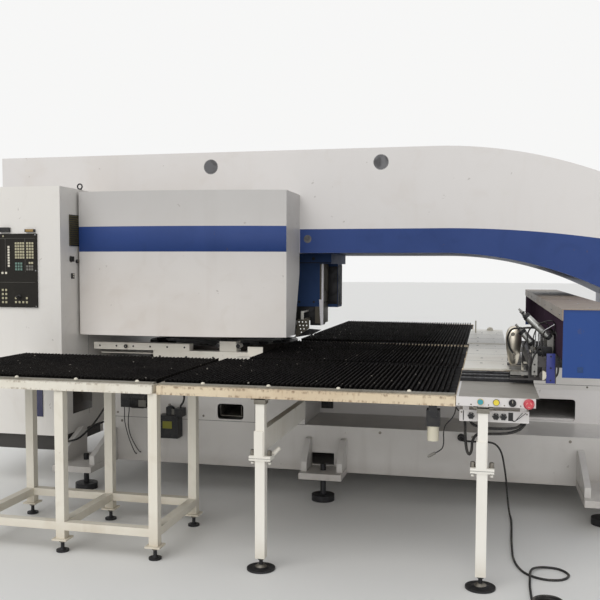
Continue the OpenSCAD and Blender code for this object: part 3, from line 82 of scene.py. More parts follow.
class Signal:
    """A socket that shader maths is written with."""

    def __init__(self, shader: "Shader", socket: bpy.types.NodeSocket) -> None:
        """Wraps one output socket of a shader's node."""
        self.shader = shader
        self.socket = socket

    def _math(self, operation: str, first: "Value", second: "Value" = 0.0) -> "Signal":
        """Adds a Math node.

        Args:
            operation: The node's operation.
            first: Its first value.
            second: Its second value.

        Returns:
            The node's output.
        """
        return self.shader.node("ShaderNodeMath", {"operation": operation}, {0: first, 1: second})

    def __add__(self, other: "Value") -> "Signal":
        """Adds."""
        return self._math("ADD", self, other)

    def __radd__(self, other: "Value") -> "Signal":
        """Adds, with the number on the left."""
        return self._math("ADD", other, self)

    def __sub__(self, other: "Value") -> "Signal":
        """Subtracts."""
        return self._math("SUBTRACT", self, other)

    def __rsub__(self, other: "Value") -> "Signal":
        """Subtracts from a number."""
        return self._math("SUBTRACT", other, self)

    def __mul__(self, other: "Value") -> "Signal":
        """Multiplies."""
        return self._math("MULTIPLY", self, other)

    def __rmul__(self, other: "Value") -> "Signal":
        """Multiplies, with the number on the left."""
        return self._math("MULTIPLY", other, self)

    def __pow__(self, other: "Value") -> "Signal":
        """Raises to a power."""
        return self._math("POWER", self, other)

    def __abs__(self) -> "Signal":
        """Drops the sign."""
        return self._math("ABSOLUTE", self)

    def top(self, other: "Value") -> "Signal":
        """Takes the larger of two values."""
        return self._math("MAXIMUM", self, other)

    def ramp(self, low: float, high: float) -> "Signal":
        """Rises smoothly from 0 to 1.

        Args:
            low: The value that gives 0.
            high: The value that gives 1, which may be below low.

        Returns:
            The mask.
        """
        settings = {"interpolation_type": "SMOOTHSTEP"}
        if low < high:
            return self.shader.node(
                "ShaderNodeMapRange", settings, {"Value": self, "From Min": low, "From Max": high}
            )
        return self.shader.node(
            "ShaderNodeMapRange",
            settings,
            {"Value": self, "From Min": high, "From Max": low, "To Min": 1.0, "To Max": 0.0},
        )


Value = Union[Signal, float, Sequence[float]]


class Shader:
    """One material in the making, with its nodes added from Python expressions."""

    def __init__(self, name: str) -> None:
        """Starts a material that has only its surface shader.

        Args:
            name: The material's name.
        """
        self.material = bpy.data.materials.new(name)
        self.material.use_nodes = True
        self.tree = self.material.node_tree
        self.tree.nodes.clear()
        self.surface = self.tree.nodes.new("ShaderNodeBsdfPrincipled")
        end = self.tree.nodes.new("ShaderNodeOutputMaterial")
        self.tree.links.new(self.surface.outputs[0], end.inputs[0])
        self.place = self.node("ShaderNodeTexCoord", {}, {}, "Object")

    def put(self, socket: bpy.types.NodeSocket, value: Value) -> None:
        """Links a signal to a socket, or sets the socket's own value.

        Args:
            socket: The socket.
            value: The signal, number or colour that feeds it.
        """
        if isinstance(value, Signal):
            self.tree.links.new(value.socket, socket)
        elif hasattr(value, "__len__") and len(value) == 3 and socket.type == "RGBA":
            socket.default_value = (*value, 1.0)
        else:
            socket.default_value = value

    def node(
        self,
        kind: str,
        settings: dict[str, object],
        values: dict[Union[str, int], Value],
        output: Union[str, int] = 0,
    ) -> Signal:
        """Adds a node.

        Args:
            kind: The node's type.
            settings: Its settings, set before its sockets.
            values: The values or links of its sockets.
            output: The socket to hand on.

        Returns:
            The output socket.
        """
        made = self.tree.nodes.new(kind)
        for key, setting in settings.items():
            setattr(made, key, setting)
        for key, value in values.items():
            self.put(made.inputs[key], value)
        return Signal(self, made.outputs[output])

    def noise(self, scale: float, detail: float = 3.0, stretch: Point = (1, 1, 1), bend: float = 0.0) -> Signal:
        """Adds a noise that lies in the object.

        Args:
            scale: Its grains in a metre.
            detail: Its octaves.
            stretch: How it is squeezed along each axis.
            bend: How far it is distorted.

        Returns:
            The noise, about 0.5 on average.
        """
        where = self.place
        if stretch != (1, 1, 1):
            where = self.node(
                "ShaderNodeVectorMath", {"operation": "MULTIPLY"}, {0: self.place, 1: stretch}
            )
        return self.node(
            "ShaderNodeTexNoise",
            {},
            {"Vector": where, "Scale": scale, "Detail": detail, "Distortion": bend},
        )

    def cells(self, scale: float) -> Signal:
        """Gives each cell of a grid of random cells one value from 0 to 1."""
        colour = self.node("ShaderNodeTexVoronoi", {}, {"Vector": self.place, "Scale": scale}, "Color")
        return self.node("ShaderNodeSeparateColor", {}, {0: colour}, 0)

    def axis(self, index: int) -> Signal:
        """Gives the place along x, y or z, in metres."""
        return self.node("ShaderNodeSeparateXYZ", {}, {0: self.place}, index)

    def facing(self, index: int) -> Signal:
        """Gives the surface's own direction along x, y or z."""
        normal = self.node("ShaderNodeTexCoord", {}, {}, "Normal")
        return self.node("ShaderNodeSeparateXYZ", {}, {0: normal}, index)

    def mix(self, factor: Value, first: Value, second: Value) -> Signal:
        """Mixes two colours.

        Args:
            factor: How much of the second one shows.
            first: The colour at 0.
            second: The colour at 1.

        Returns:
            The mixed colour.
        """
        return self.node(
            "ShaderNodeMix",
            {"data_type": "RGBA", "clamp_factor": True},
            {0: factor, 6: first, 7: second},
            2,
        )

    def bump(self, height: Signal, depth: float) -> Signal:
        """Raises the surface by up to depth metres, as height says."""
        return self.node("ShaderNodeBump", {}, {"Strength": 1.0, "Distance": depth, "Height": height})

    def finish(self, **sockets: Value) -> bpy.types.Material:
        """Feeds the surface shader.

        Args:
            sockets: The values or links of its sockets, with _ for a space.

        Returns:
            The finished material.
        """
        for key, value in sockets.items():
            self.put(self.surface.inputs[key.replace("_", " ")], value)
        return self.material


@dataclass(frozen=True)
class Paint:
    """Sprayed enamel on steel, with stains, runs of dirt and chipped edges, and, where asked, painted shade that greys
    it towards the top.
    """

    name: str
    colour: Colour
    stain: Colour
    amount: float = 0.3
    streaks: float = 0.2
    roughness: float = 0.34
    low_dirt: Pair = (0.0, 0.0)
    edges: tuple[float, ...] = ()
    edge_tone: Colour = (96, 78, 60)
    edge_depth: float = 0.012
    wear: float = 0.55
    grain: float = 9.0
    gloss: float = 0.5
    # Heights over which painted shade greys the colour, most at the top
    shaded: Pair = (0.0, 0.0)

    def build(self) -> bpy.types.Material:
        """Makes the material.

        Returns:
            The material.
        """
        sh = Shader(self.name)
        height = sh.axis(2)
        cloud = sh.noise(1.3, 4, bend=0.6).ramp(0.47, 0.72)
        patch = sh.noise(5.5, 5, bend=1.2).ramp(0.52, 0.75)
        runs = sh.noise(self.grain, 3, (1.0, 1.0, 0.09)).ramp(0.56, 0.8)
        speck = sh.cells(48).ramp(0.995, 0.998) * sh.noise(60, 1).ramp(0.5, 0.6)
        grime = cloud * self.amount + patch * (self.amount * 0.55) + runs * self.streaks
        if self.low_dirt[1] > self.low_dirt[0]:
            low = height.ramp(self.low_dirt[1], self.low_dirt[0])
            grime = grime + low * (sh.noise(7, 5) * 0.5 + 0.1)
        colour = sh.mix(grime, tone(*self.colour), tone(*self.stain))
        # Painted shade: the colour turns grey towards the top of this height span
        if self.shaded[1] > self.shaded[0]:
            colour = sh.mix(height.ramp(*self.shaded) * 0.75, colour, tone(176, 175, 174))
        worn = speck * 0.3
        for edge in self.edges:
            near = abs(height - edge).ramp(self.edge_depth, self.edge_depth * 0.25)
            worn = worn.top(near * sh.noise(64, 5, (1, 1, 0.5)).ramp(0.46, 0.68) * self.wear)
        colour = sh.mix(worn, colour, tone(*self.edge_tone))
        rough = sh.noise(14, 3) * 0.12 + grime * 0.3 + (self.roughness - 0.06)
        peel = sh.noise(140, 2) * 0.5 + sh.noise(3, 2)
        return sh.finish(
            Base_Color=colour, Roughness=rough, Specular_IOR_Level=self.gloss, Normal=sh.bump(peel, 0.0006)
        )


class Cut(Enum):
    """How a metal surface was made."""

    TURNED = "turned"
    GROUND = "ground"
    CAST = "cast"


@dataclass(frozen=True)
class Metal:
    """Bare or plated metal with its tool marks, oil and rust."""

    name: str
    colour: Colour
    dirt: Colour
    roughness: float
    cut: Cut = Cut.GROUND
    centre: Pair = (0.0, 0.0)
    soiled: float = 0.4
    metallic: float = 1.0

    def build(self) -> bpy.types.Material:
        """Makes the material.

        Returns:
            The material.
        """
        sh = Shader(self.name)
        if self.cut is Cut.TURNED:
            across = (sh.axis(0) - self.centre[0]) ** 2 + (sh.axis(1) - self.centre[1]) ** 2
            rings = sh.node("ShaderNodeMath", {"operation": "SINE"}, {0: (across ** 0.5) * 900.0})
            marks = rings * 0.25 + sh.noise(30, 2)
        elif self.cut is Cut.GROUND:
            marks = sh.noise(160, 3, (1, 0.04, 1))
        else:
            marks = sh.noise(90, 4)
        film = sh.noise(11, 5, bend=1.0).ramp(0.45, 0.72)
        spots = sh.noise(42, 3).ramp(0.6, 0.72)
        grime = film * self.soiled + spots * (self.soiled * 0.6)
        colour = sh.mix(grime, tone(*self.colour), tone(*self.dirt))
        rough = marks * 0.14 + film * 0.22 + (self.roughness - 0.06)
        return sh.finish(
            Base_Color=colour, Roughness=rough, Metallic=self.metallic, Normal=sh.bump(marks, 0.0004)
        )


@dataclass(frozen=True)
class Moulded:
    """Moulded plastic, rubber or glass, with grain and dust."""

    name: str
    colour: Colour
    roughness: float = 0.45
    dust: float = 0.2
    dust_tone: Colour = (150, 145, 135)
    grain: float = 0.0003
    coat: float = 0.0
    gloss: float = 0.4

    def build(self) -> bpy.types.Material:
        """Makes the material.

        Returns:
            The material.
        """
        sh = Shader(self.name)
        settled = sh.facing(2).ramp(-0.1, 1.0) * 0.7 + 0.3
        film = sh.noise(16, 4, bend=0.8).ramp(0.42, 0.75) * settled
        speck = sh.cells(230).ramp(0.97, 0.985) * 0.5
        colour = sh.mix((film + speck) * self.dust, tone(*self.colour), tone(*self.dust_tone))
        rough = sh.noise(35, 2) * 0.12 + film * 0.2 + (self.roughness - 0.06)
        return sh.finish(
            Base_Color=colour, Roughness=rough, Coat_Weight=self.coat, Specular_IOR_Level=self.gloss,
            Normal=sh.bump(sh.noise(320, 2), self.grain),
        )


@dataclass(frozen=True)
class Bristle:
    """Nylon bristles, dark at their roots and dusty at their tips."""

    name: str = "bristle_nylon"
    root: float = 0.920
    tip: float = 0.945

    def build(self) -> bpy.types.Material:
        """Makes the material.

        Returns:
            The material.
        """
        sh = Shader(self.name)
        height = sh.axis(2).ramp(self.root, self.tip)
        worn = sh.noise(2.4, 4, bend=0.7).ramp(0.35, 0.7)
        dark = sh.mix(height, tone(8, 8, 8), tone(24, 22, 22))
        colour = sh.mix(height * worn * 0.4, dark, tone(48, 45, 42))
        chips = sh.cells(70).ramp(0.996, 0.998) * height.ramp(0.6, 0.9)
        colour = sh.mix(chips * 0.8, colour, tone(176, 170, 160))
        hairs = sh.noise(900, 1, (1, 1, 0.05))
        rough = sh.noise(20, 2) * 0.15 + 0.42
        return sh.finish(
            Base_Color=colour, Roughness=rough, Specular_IOR_Level=0.08, Normal=sh.bump(hairs, 0.0008)
        )


@dataclass(frozen=True)
class Thread:
    """A ground screw thread that winds round a shaft along x or y."""

    name: str
    along: int
    middle: Pair
    pitch: float = 0.010

    def build(self) -> bpy.types.Material:
        """Makes the material.

        Returns:
            The material.
        """
        sh = Shader(self.name)
        side = sh.axis(1 - self.along) - self.middle[0]
        rise = sh.axis(2) - self.middle[1]
        turn = sh.node("ShaderNodeMath", {"operation": "ARCTAN2"}, {0: side, 1: rise})
        angle = sh.axis(self.along) * (2 * math.pi / self.pitch) + turn
        wave = sh.node("ShaderNodeMath", {"operation": "SINE"}, {0: angle})
        groove = wave.ramp(0.1, -0.9)
        oil = sh.noise(12, 4).ramp(0.4, 0.7)
        colour = sh.mix(groove * 0.7 + oil * 0.2, tone(150, 148, 142), tone(58, 50, 40))
        return sh.finish(
            Base_Color=colour, Roughness=oil * 0.2 + 0.26, Metallic=1.0, Normal=sh.bump(1 - groove, 0.0015)
        )


WHITE = (216, 213, 211)
WARM = (190, 178, 164)
GREY = (120, 112, 104)
FINISHES: dict[str, Union[Paint, Metal, Moulded, Bristle, Thread]] = {
    "frame": Paint("frame_enamel", WHITE, WARM, 0.16, 0.1),
    # The cover is painted grey towards its top as painted shade
    "cover": Paint("cover_enamel", (232, 227, 222), (196, 182, 166), 0.2, 0.12, shaded=(1.1, 2.1)),
    "cabinet": Paint("cabinet_enamel", (225, 222, 217), WARM, 0.16, 0.1),
    # Painted shade: a dark colour for the block laid over the cabinet's plinth
    "plinth": Paint("plinth_shade_paint", (70, 68, 66), (40, 38, 36), 0.4, 0.3, 0.5, gloss=0.2),
    "base": Paint("base_enamel", (208, 205, 201), (158, 150, 142), 0.2, 0.22, low_dirt=(0.16, 0.26)),
    "legs": Paint("leg_enamel", (234, 231, 223), (196, 186, 166), 0.2, 0.2, 0.42, low_dirt=(0.05, 0.2)),
    "rails": Paint(
        "rail_enamel", (218, 202, 174), (168, 138, 104), 0.34, 0.6, 0.46, edges=(0.919, 0.876),
        edge_tone=(112, 82, 58), edge_depth=0.016, wear=0.7, grain=40.0,
    ),
    "side_legs": Paint(
        "side_leg_enamel", (226, 221, 208), (176, 160, 134), 0.3, 0.3, 0.44, low_dirt=(0.05, 0.22),
        edges=(0.919, 0.876), edge_tone=(122, 98, 72),
    ),
    "strip": Paint("strip_enamel", (128, 124, 114), (84, 76, 64), 0.5, 0.5, 0.5, grain=40.0),
    "band": Paint("band_blue", (44, 68, 126), (36, 54, 98), 0.35, 0.15, 0.4, gloss=0.2),
    "beam": Paint("beam_blue", (34, 68, 132), (64, 98, 150), 0.25, 0.12, 0.4, gloss=0.25),
    # A darker copy of the cover's blue, painted shade on the cover's left side
    "beam_side": Paint("beam_side_navy", (66, 52, 64), (46, 38, 44), 0.4, 0.2, 0.6, gloss=0.0),
    "navy": Paint("housing_blue", (54, 76, 118), (38, 52, 80), 0.4, 0.25, 0.5, gloss=0.08),
    # The top plate's pale tint is partly its paint and partly painted reflection of the light on the beam's top
    "lid": Paint("lid_enamel_and_sheen", (142, 129, 115), GREY, 0.35, 0.15, 0.42, gloss=0.3),
    # A brighter copy of the white paint, painted light for the side plate's edge that sits in shade
    "side_plate": Paint("side_plate_painted_light", (252, 250, 254), WARM, 0.1, 0.1),
    "apron": Paint("apron_enamel", (150, 146, 138), (108, 102, 94), 0.4, 0.2, 0.45),
    "guard": Paint("guard_grey", (92, 86, 74), (52, 48, 42), 0.5, 0.3, 0.45),
    "blue_plate": Paint("plate_blue", (48, 58, 136), (36, 42, 96), 0.3, 0.2),
    "plates": Paint("plate_enamel", (228, 225, 214), WARM, 0.26, 0.2, 0.36),
    "rails_white": Paint("bar_enamel", (226, 222, 212), (170, 160, 142), 0.25, 0.2),
    "steel": Metal("ground_steel", (132, 131, 128), (84, 76, 66), 0.34),
    "turned": Metal("turned_steel", (74, 70, 68), (36, 32, 30), 0.42, Cut.TURNED, (-1.05, 0.0), 0.6),
    "screw": Metal("screw_steel", (170, 170, 172), (90, 84, 76), 0.24),
    "stainless": Metal("stainless", (236, 228, 212), (176, 162, 142), 0.36, soiled=0.15),
    "zinc": Metal("zinc_plate", (136, 132, 124), (78, 70, 60), 0.46, Cut.CAST, soiled=0.55),
    "oxide": Metal("dark_oxide", (52, 52, 54), (30, 28, 27), 0.46, Cut.CAST, metallic=0.7),
    "tube_grey": Metal("tube_alloy", (188, 190, 188), (110, 106, 98), 0.3, soiled=0.35),
    "dark_steel": Metal("carriage_steel", (78, 76, 76), (40, 36, 34), 0.42, Cut.CAST, soiled=0.6),
    "rim": Metal("rim_steel", (92, 92, 94), (52, 50, 48), 0.4),
    "brass": Metal("brass_rim", (190, 160, 96), (110, 90, 56), 0.3),
    "x_thread": Thread("x_thread", 0, (0.040, 0.795)),
    "y_thread": Thread("y_thread", 1, (1.462, 1.181)),
    "bristle": Bristle(),
    "black": Moulded("black_plastic", (34, 34, 36), 0.42, 0.22, gloss=0.3),
    "panel": Moulded("panel_plastic", (40, 38, 35), 0.55, 0.12, (90, 86, 78), gloss=0.12),
    "keys": Moulded("key_cream", (178, 172, 144), 0.5, 0.35, (110, 104, 88)),
    "soft_keys": Moulded("key_teal", (104, 132, 122), 0.5, 0.3, (84, 88, 80)),
    "grey_keys": Moulded("key_grey", (108, 106, 100), 0.5, 0.3),
    "screen": Moulded("screen_glass", (22, 26, 30), 0.12, 0.08, coat=0.6),
    "rubber": Moulded("cable_rubber", (28, 27, 28), 0.55, 0.3),
    "teal": Moulded("teal_cap", (58, 150, 162), 0.25, 0.12, coat=0.3),
    "yellow": Moulded("yellow_cap", (228, 206, 62), 0.25, 0.14, coat=0.3),
    "red": Moulded("red_cap", (200, 66, 78), 0.32, 0.2, coat=0.2),
    "olive": Moulded("olive_field", (124, 122, 30), 0.5, 0.3),
    "white_cap": Moulded("white_cap", (222, 216, 200), 0.4, 0.35),
    "vent": Moulded("vent_slat", (96, 90, 66), 0.6, 0.4, (60, 56, 42), gloss=0.1),
    "blue_glass": Moulded("window_blue", (42, 44, 84), 0.1, 0.15, coat=0.5),
    "brown_glass": Moulded("window_brown", (40, 32, 30), 0.1, 0.15, coat=0.5),
    "gold": Moulded("reader_gold", (150, 120, 60), 0.2, 0.15, coat=0.5),
    "gap": Moulded("shadow_gap", (26, 25, 26), 0.7, 0.15),
    "bowl": Moulded("bowl_clear", (206, 200, 180), 0.14, 0.25, coat=0.5),
    "plug": Moulded("plug_rubber", (20, 19, 19), 0.85, 0.3, (44, 42, 38), gloss=0.02),
    "board": Moulded("brush_board", (17, 16, 17), 0.6, 0.2, (60, 56, 52), gloss=0.05),
}


class Finishes:
    """Every finish of the press, made once."""

    def __init__(self) -> None:
        """Makes the materials."""
        self.made = {name: recipe.build() for name, recipe in FINISHES.items()}

    def __getattr__(self, name: str) -> bpy.types.Material:
        """Gives the finish of that name."""
        return self.made[name]


FRONT, RIGHT, LEFT, UP, DOWN = (0, -1, 0), (1, 0, 0), (-1, 0, 0), (0, 0, 1), (0, 0, -1)


def off(base: float, *steps: float) -> tuple[float, ...]:
    """Gives places that stand so many millimetres from a base in metres."""
    return tuple(base + step * MM for step in steps)


def about(middle: float, reach: float) -> Pair:
    """Gives the span that reaches so many metres to both sides of a middle."""
    return middle - reach, middle + reach


def circle(x: float, z: float, radius: float, count: int) -> list[Pair]:
    """Gives the corners of a round hole's outline."""
    turns = [2 * math.pi * i / count for i in range(count)]
    return [(x + radius * math.cos(a), z + radius * math.sin(a)) for a in turns]


def many(value: Union[float, Sequence[float]]) -> Sequence[float]:
    """Makes a row of one value."""
    return value if hasattr(value, "__len__") else (value,)


class Piece:
    """A mesh in the making that rides on one body of the press."""

    def __init__(self, name: str) -> None:
        """Starts an empty mesh."""
        self.name = name
        self.mesh = bmesh.new()

    def block(self, x: Pair, y: Pair, z: Pair, edge: float = 0.0) -> "Piece":
        """Adds a block with broken edges.

        Args:
            x: Its span along x.
            y: Its span along y.
            z: Its span along z.
            edge: How far its edges are cut back, in millimetres.

        Returns:
            The piece.
        """
        corners = [self.mesh.verts.new((a, b, c)) for a in x for b in y for c in z]
        sides = ((0, 1, 3, 2), (4, 6, 7, 5), (0, 4, 5, 1), (2, 3, 7, 6), (0, 2, 6, 4), (1, 5, 7, 3))
        faces = [self.mesh.faces.new([corners[i] for i in side]) for side in sides]
        if edge > 0:
            edges = list({e for f in faces for e in f.edges})
            bmesh.ops.bevel(self.mesh, geom=edges, offset=edge * MM, segments=2, profile=0.6, affect="EDGES")
        return self

    def lathe(
        self, foot: Point, way: Point, profile: Sequence[Pair], sides: int = 28, turn: float = 0.0
    ) -> "Piece":
        """Turns a profile about a line.

        Args:
            foot: Where the line starts.
            way: Its direction.
            profile: Pairs of the way along the line and the radius, in millimetres.
            sides: How many sides the round has.
            turn: Where its first corner stands, in degrees.

        Returns:
            The piece.
        """
        start, line = Vector(foot), Vector(way).normalized()
        side = line.orthogonal().normalized()
        other = line.cross(side)
        angles = [2 * math.pi * i / sides + math.radians(turn) for i in range(sides)]
        rings = []
        for along, radius in profile:
            centre = start + line * (along * MM)
            spokes = [side * math.cos(a) + other * math.sin(a) for a in angles] if radius > 0 else [Vector()]
            rings.append([self.mesh.verts.new(centre + spoke * (radius * MM)) for spoke in spokes])
        for low, high in zip(rings, rings[1:]):
            for i in range(sides):
                j = (i + 1) % sides
                if len(low) == 1 and len(high) > 1:
                    self.mesh.faces.new((low[0], high[j], high[i]))
                elif len(high) == 1 and len(low) > 1:
                    self.mesh.faces.new((low[i], low[j], high[0]))
                elif len(low) > 1:
                    self.mesh.faces.new((low[i], low[j], high[j], high[i]))
        for ring in (rings[0][::-1], rings[-1]):
            if len(ring) > 1:
                self.mesh.faces.new(ring)
        return self

    def bolts(
        self, x: Places, y: Places, z: Places, way: Point, radius: float, thick: float, sides: int = 6
    ) -> "Piece":
        """Adds a grid of bolt heads with chamfers and washers.

        Args:
            x: Their places along x.
            y: Their places along y.
            z: Their places along z.
            way: Where they face.
            radius: Their radius in millimetres.
            thick: Their height in millimetres.
            sides: How many sides they have.

        Returns:
            The piece.
        """
        wide, seat = radius * 1.35, thick * 0.25
        for at in product(many(x), many(y), many(z)):
            self.lathe(at, way, ((0, wide), (seat, wide)), 20)
            self.lathe(at, way, ((seat, radius), (thick * 0.8, radius), (thick, radius * 0.82)), sides, 11)
        return self

    def tube(self, path: Sequence[Point], radius: float, sides: int) -> "Piece":
        """Sweeps a round along a smooth path.

        Args:
            path: Points that it goes through.
            radius: Its radius in millimetres.
            sides: How many sides it has.

        Returns:
            The piece.
        """
        line = smooth(path, 6)
        side = Vector((0.31, 0.2, 0.93))
        rings = []
        for i, here in enumerate(line):
            way = (line[min(i + 1, len(line) - 1)] - line[max(i - 1, 0)]).normalized()
            side = (side - way * side.dot(way)).normalized()
            other = way.cross(side)
            angles = [2 * math.pi * k / sides for k in range(sides)]
            spokes = [(side * math.cos(a) + other * math.sin(a)) * (radius * MM) for a in angles]
            rings.append([self.mesh.verts.new(here + spoke) for spoke in spokes])
        self.mesh.faces.new(rings[0][::-1])
        for low, high in zip(rings, rings[1:]):
            for k in range(sides):
                j = (k + 1) % sides
                self.mesh.faces.new((low[k], low[j], high[j], high[k]))
        self.mesh.faces.new(rings[-1])
        return self

    def plate(self, outline: Sequence[Pair], holes: Sequence[Sequence[Pair]], y: Pair) -> "Piece":
        """Adds a flat plate that faces the front, with holes.

        Args:
            outline: Its outside, in x and z.
            holes: The outlines of its holes.
            y: Its front and back.

        Returns:
            The piece.
        """
        loops = [list(outline), *[list(h) for h in holes]]
        flat = [[Vector((a, b, 0)) for a, b in loop] for loop in loops]
        points = [p for loop in loops for p in loop]
        front, back = ([self.mesh.verts.new((a, depth, b)) for a, b in points] for depth in y)
        for tri in tessellate_polygon(flat):
            self.mesh.faces.new([front[i] for i in tri])
            self.mesh.faces.new([back[i] for i in reversed(tri)])
        start = 0
        for loop in loops:
            for i in range(len(loop)):
                a, b = start + i, start + (i + 1) % len(loop)
                self.mesh.faces.new((front[a], front[b], back[b], back[a]))
            start += len(loop)
        return self

    def sheet(self, rows: Sequence[Sequence[Point]]) -> "Piece":
        """Adds a thin sheet.

        Args:
            rows: Its points, row by row.

        Returns:
            The piece.
        """
        lines = [[self.mesh.verts.new(point) for point in row] for row in rows]
        for a, b in zip(lines, lines[1:]):
            for k in range(len(a) - 1):
                self.mesh.faces.new((a[k], b[k], b[k + 1], a[k + 1]))
        return self

    def place(self, finish: bpy.types.Material, slot: str, body: str = "machine") -> bpy.types.Object:
        """Makes the object.

        Args:
            finish: Its material.
            slot: The record's slot of its finish, which is not used.
            body: The body that it rides on.

        Returns:
            The object.
        """
        bmesh.ops.recalc_face_normals(self.mesh, faces=self.mesh.faces)
        data = bpy.data.meshes.new(self.name)
        self.mesh.to_mesh(data)
        self.mesh.free()
        return settle(bpy.data.objects.new(self.name, data), body, finish)


def smooth(path: Sequence[Point], steps: int) -> list[Vector]:
    """Draws a smooth curve through points.

    Args:
        path: The points.
        steps: How many points it has between each two.

    Returns:
        The curve's points.
    """
    pts = [Vector(p) for p in path]
    line = []
    for i in range(len(pts) - 1):
        a, b, c, d = pts[max(i - 1, 0)], pts[i], pts[i + 1], pts[min(i + 2, len(pts) - 1)]
        for k in range(steps):
            t = k / steps
            line.append(
                0.5 * (2 * b + (c - a) * t + (2 * a - 5 * b + 4 * c - d) * t**2 + (3 * b - a - 3 * c + d) * t**3)
            )
    return line + [pts[-1]]


def settle(
    thing: bpy.types.Object, body: str, finish: bpy.types.Material, replaces: Sequence[str] = ()
) -> bpy.types.Object:
    """Puts an object in the scene, on its body and in its finish.

    Args:
        thing: The object.
        body: The body that it rides on.
        finish: Its material.
        replaces: The frame's nodes that it stands for.

    Returns:
        The object.
    """
    bpy.context.scene.collection.objects.link(thing)
    thing.data.materials.append(finish)
    if thing.type == "MESH":
        thing.data.polygons.foreach_set("use_smooth", [True] * len(thing.data.polygons))
        thing.data.set_sharp_from_angle(angle=math.radians(35))
    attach(thing, body)
    if replaces:
        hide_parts(*replaces)
    log.info("%s rides on %s", thing.name, body)
    return thing


def spline(name: str, line: Sequence[Vector], radius: float) -> bpy.types.Object:
    """Makes a round cord along a line.

    Args:
        name: The object's name.
        line: The points of its centreline.
        radius: Its radius.

    Returns:
        The curve object, not yet in the scene.
    """
    data = bpy.data.curves.new(name, "CURVE")
    data.dimensions = "3D"
    data.bevel_depth = radius
    data.bevel_resolution = 3
    data.use_fill_caps = True
    run = data.splines.new("POLY")
    run.points.add(len(line) - 1)
    for point, where in zip(run.points, line):
        point.co = (*where, 1.0)
    return bpy.data.objects.new(name, data)


def run_length(line: Sequence[Vector]) -> float:
    """Measures a line."""
    return sum((b - a).length for a, b in zip(line, line[1:]))


def dress(finish: bpy.types.Material, *nodes: str) -> None:
    """Gives a finish to nodes of the frame.

    Args:
        finish: The material.
        nodes: The nodes' names.
    """
    for name in nodes:
        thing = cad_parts[name]
        if not thing.material_slots:
            thing.data.materials.append(finish)
        for entry in thing.material_slots:
            entry.material = finish
        log.info("%s is finished in %s", name, finish.name)


def metres(points: Sequence[Point]) -> list[Point]:
    """Turns points written in millimetres into metres."""
    return [tuple(v / 1000 for v in point) for point in points]


def ring_places(centre: Pair, radius: float, count: int) -> list[Pair]:
    """Gives places on a ring, the first one half a step round."""
    turns = [2 * math.pi * (i + 0.5) / count for i in range(count)]
    return [(centre[0] + radius * math.cos(a), centre[1] + radius * math.sin(a)) for a in turns]


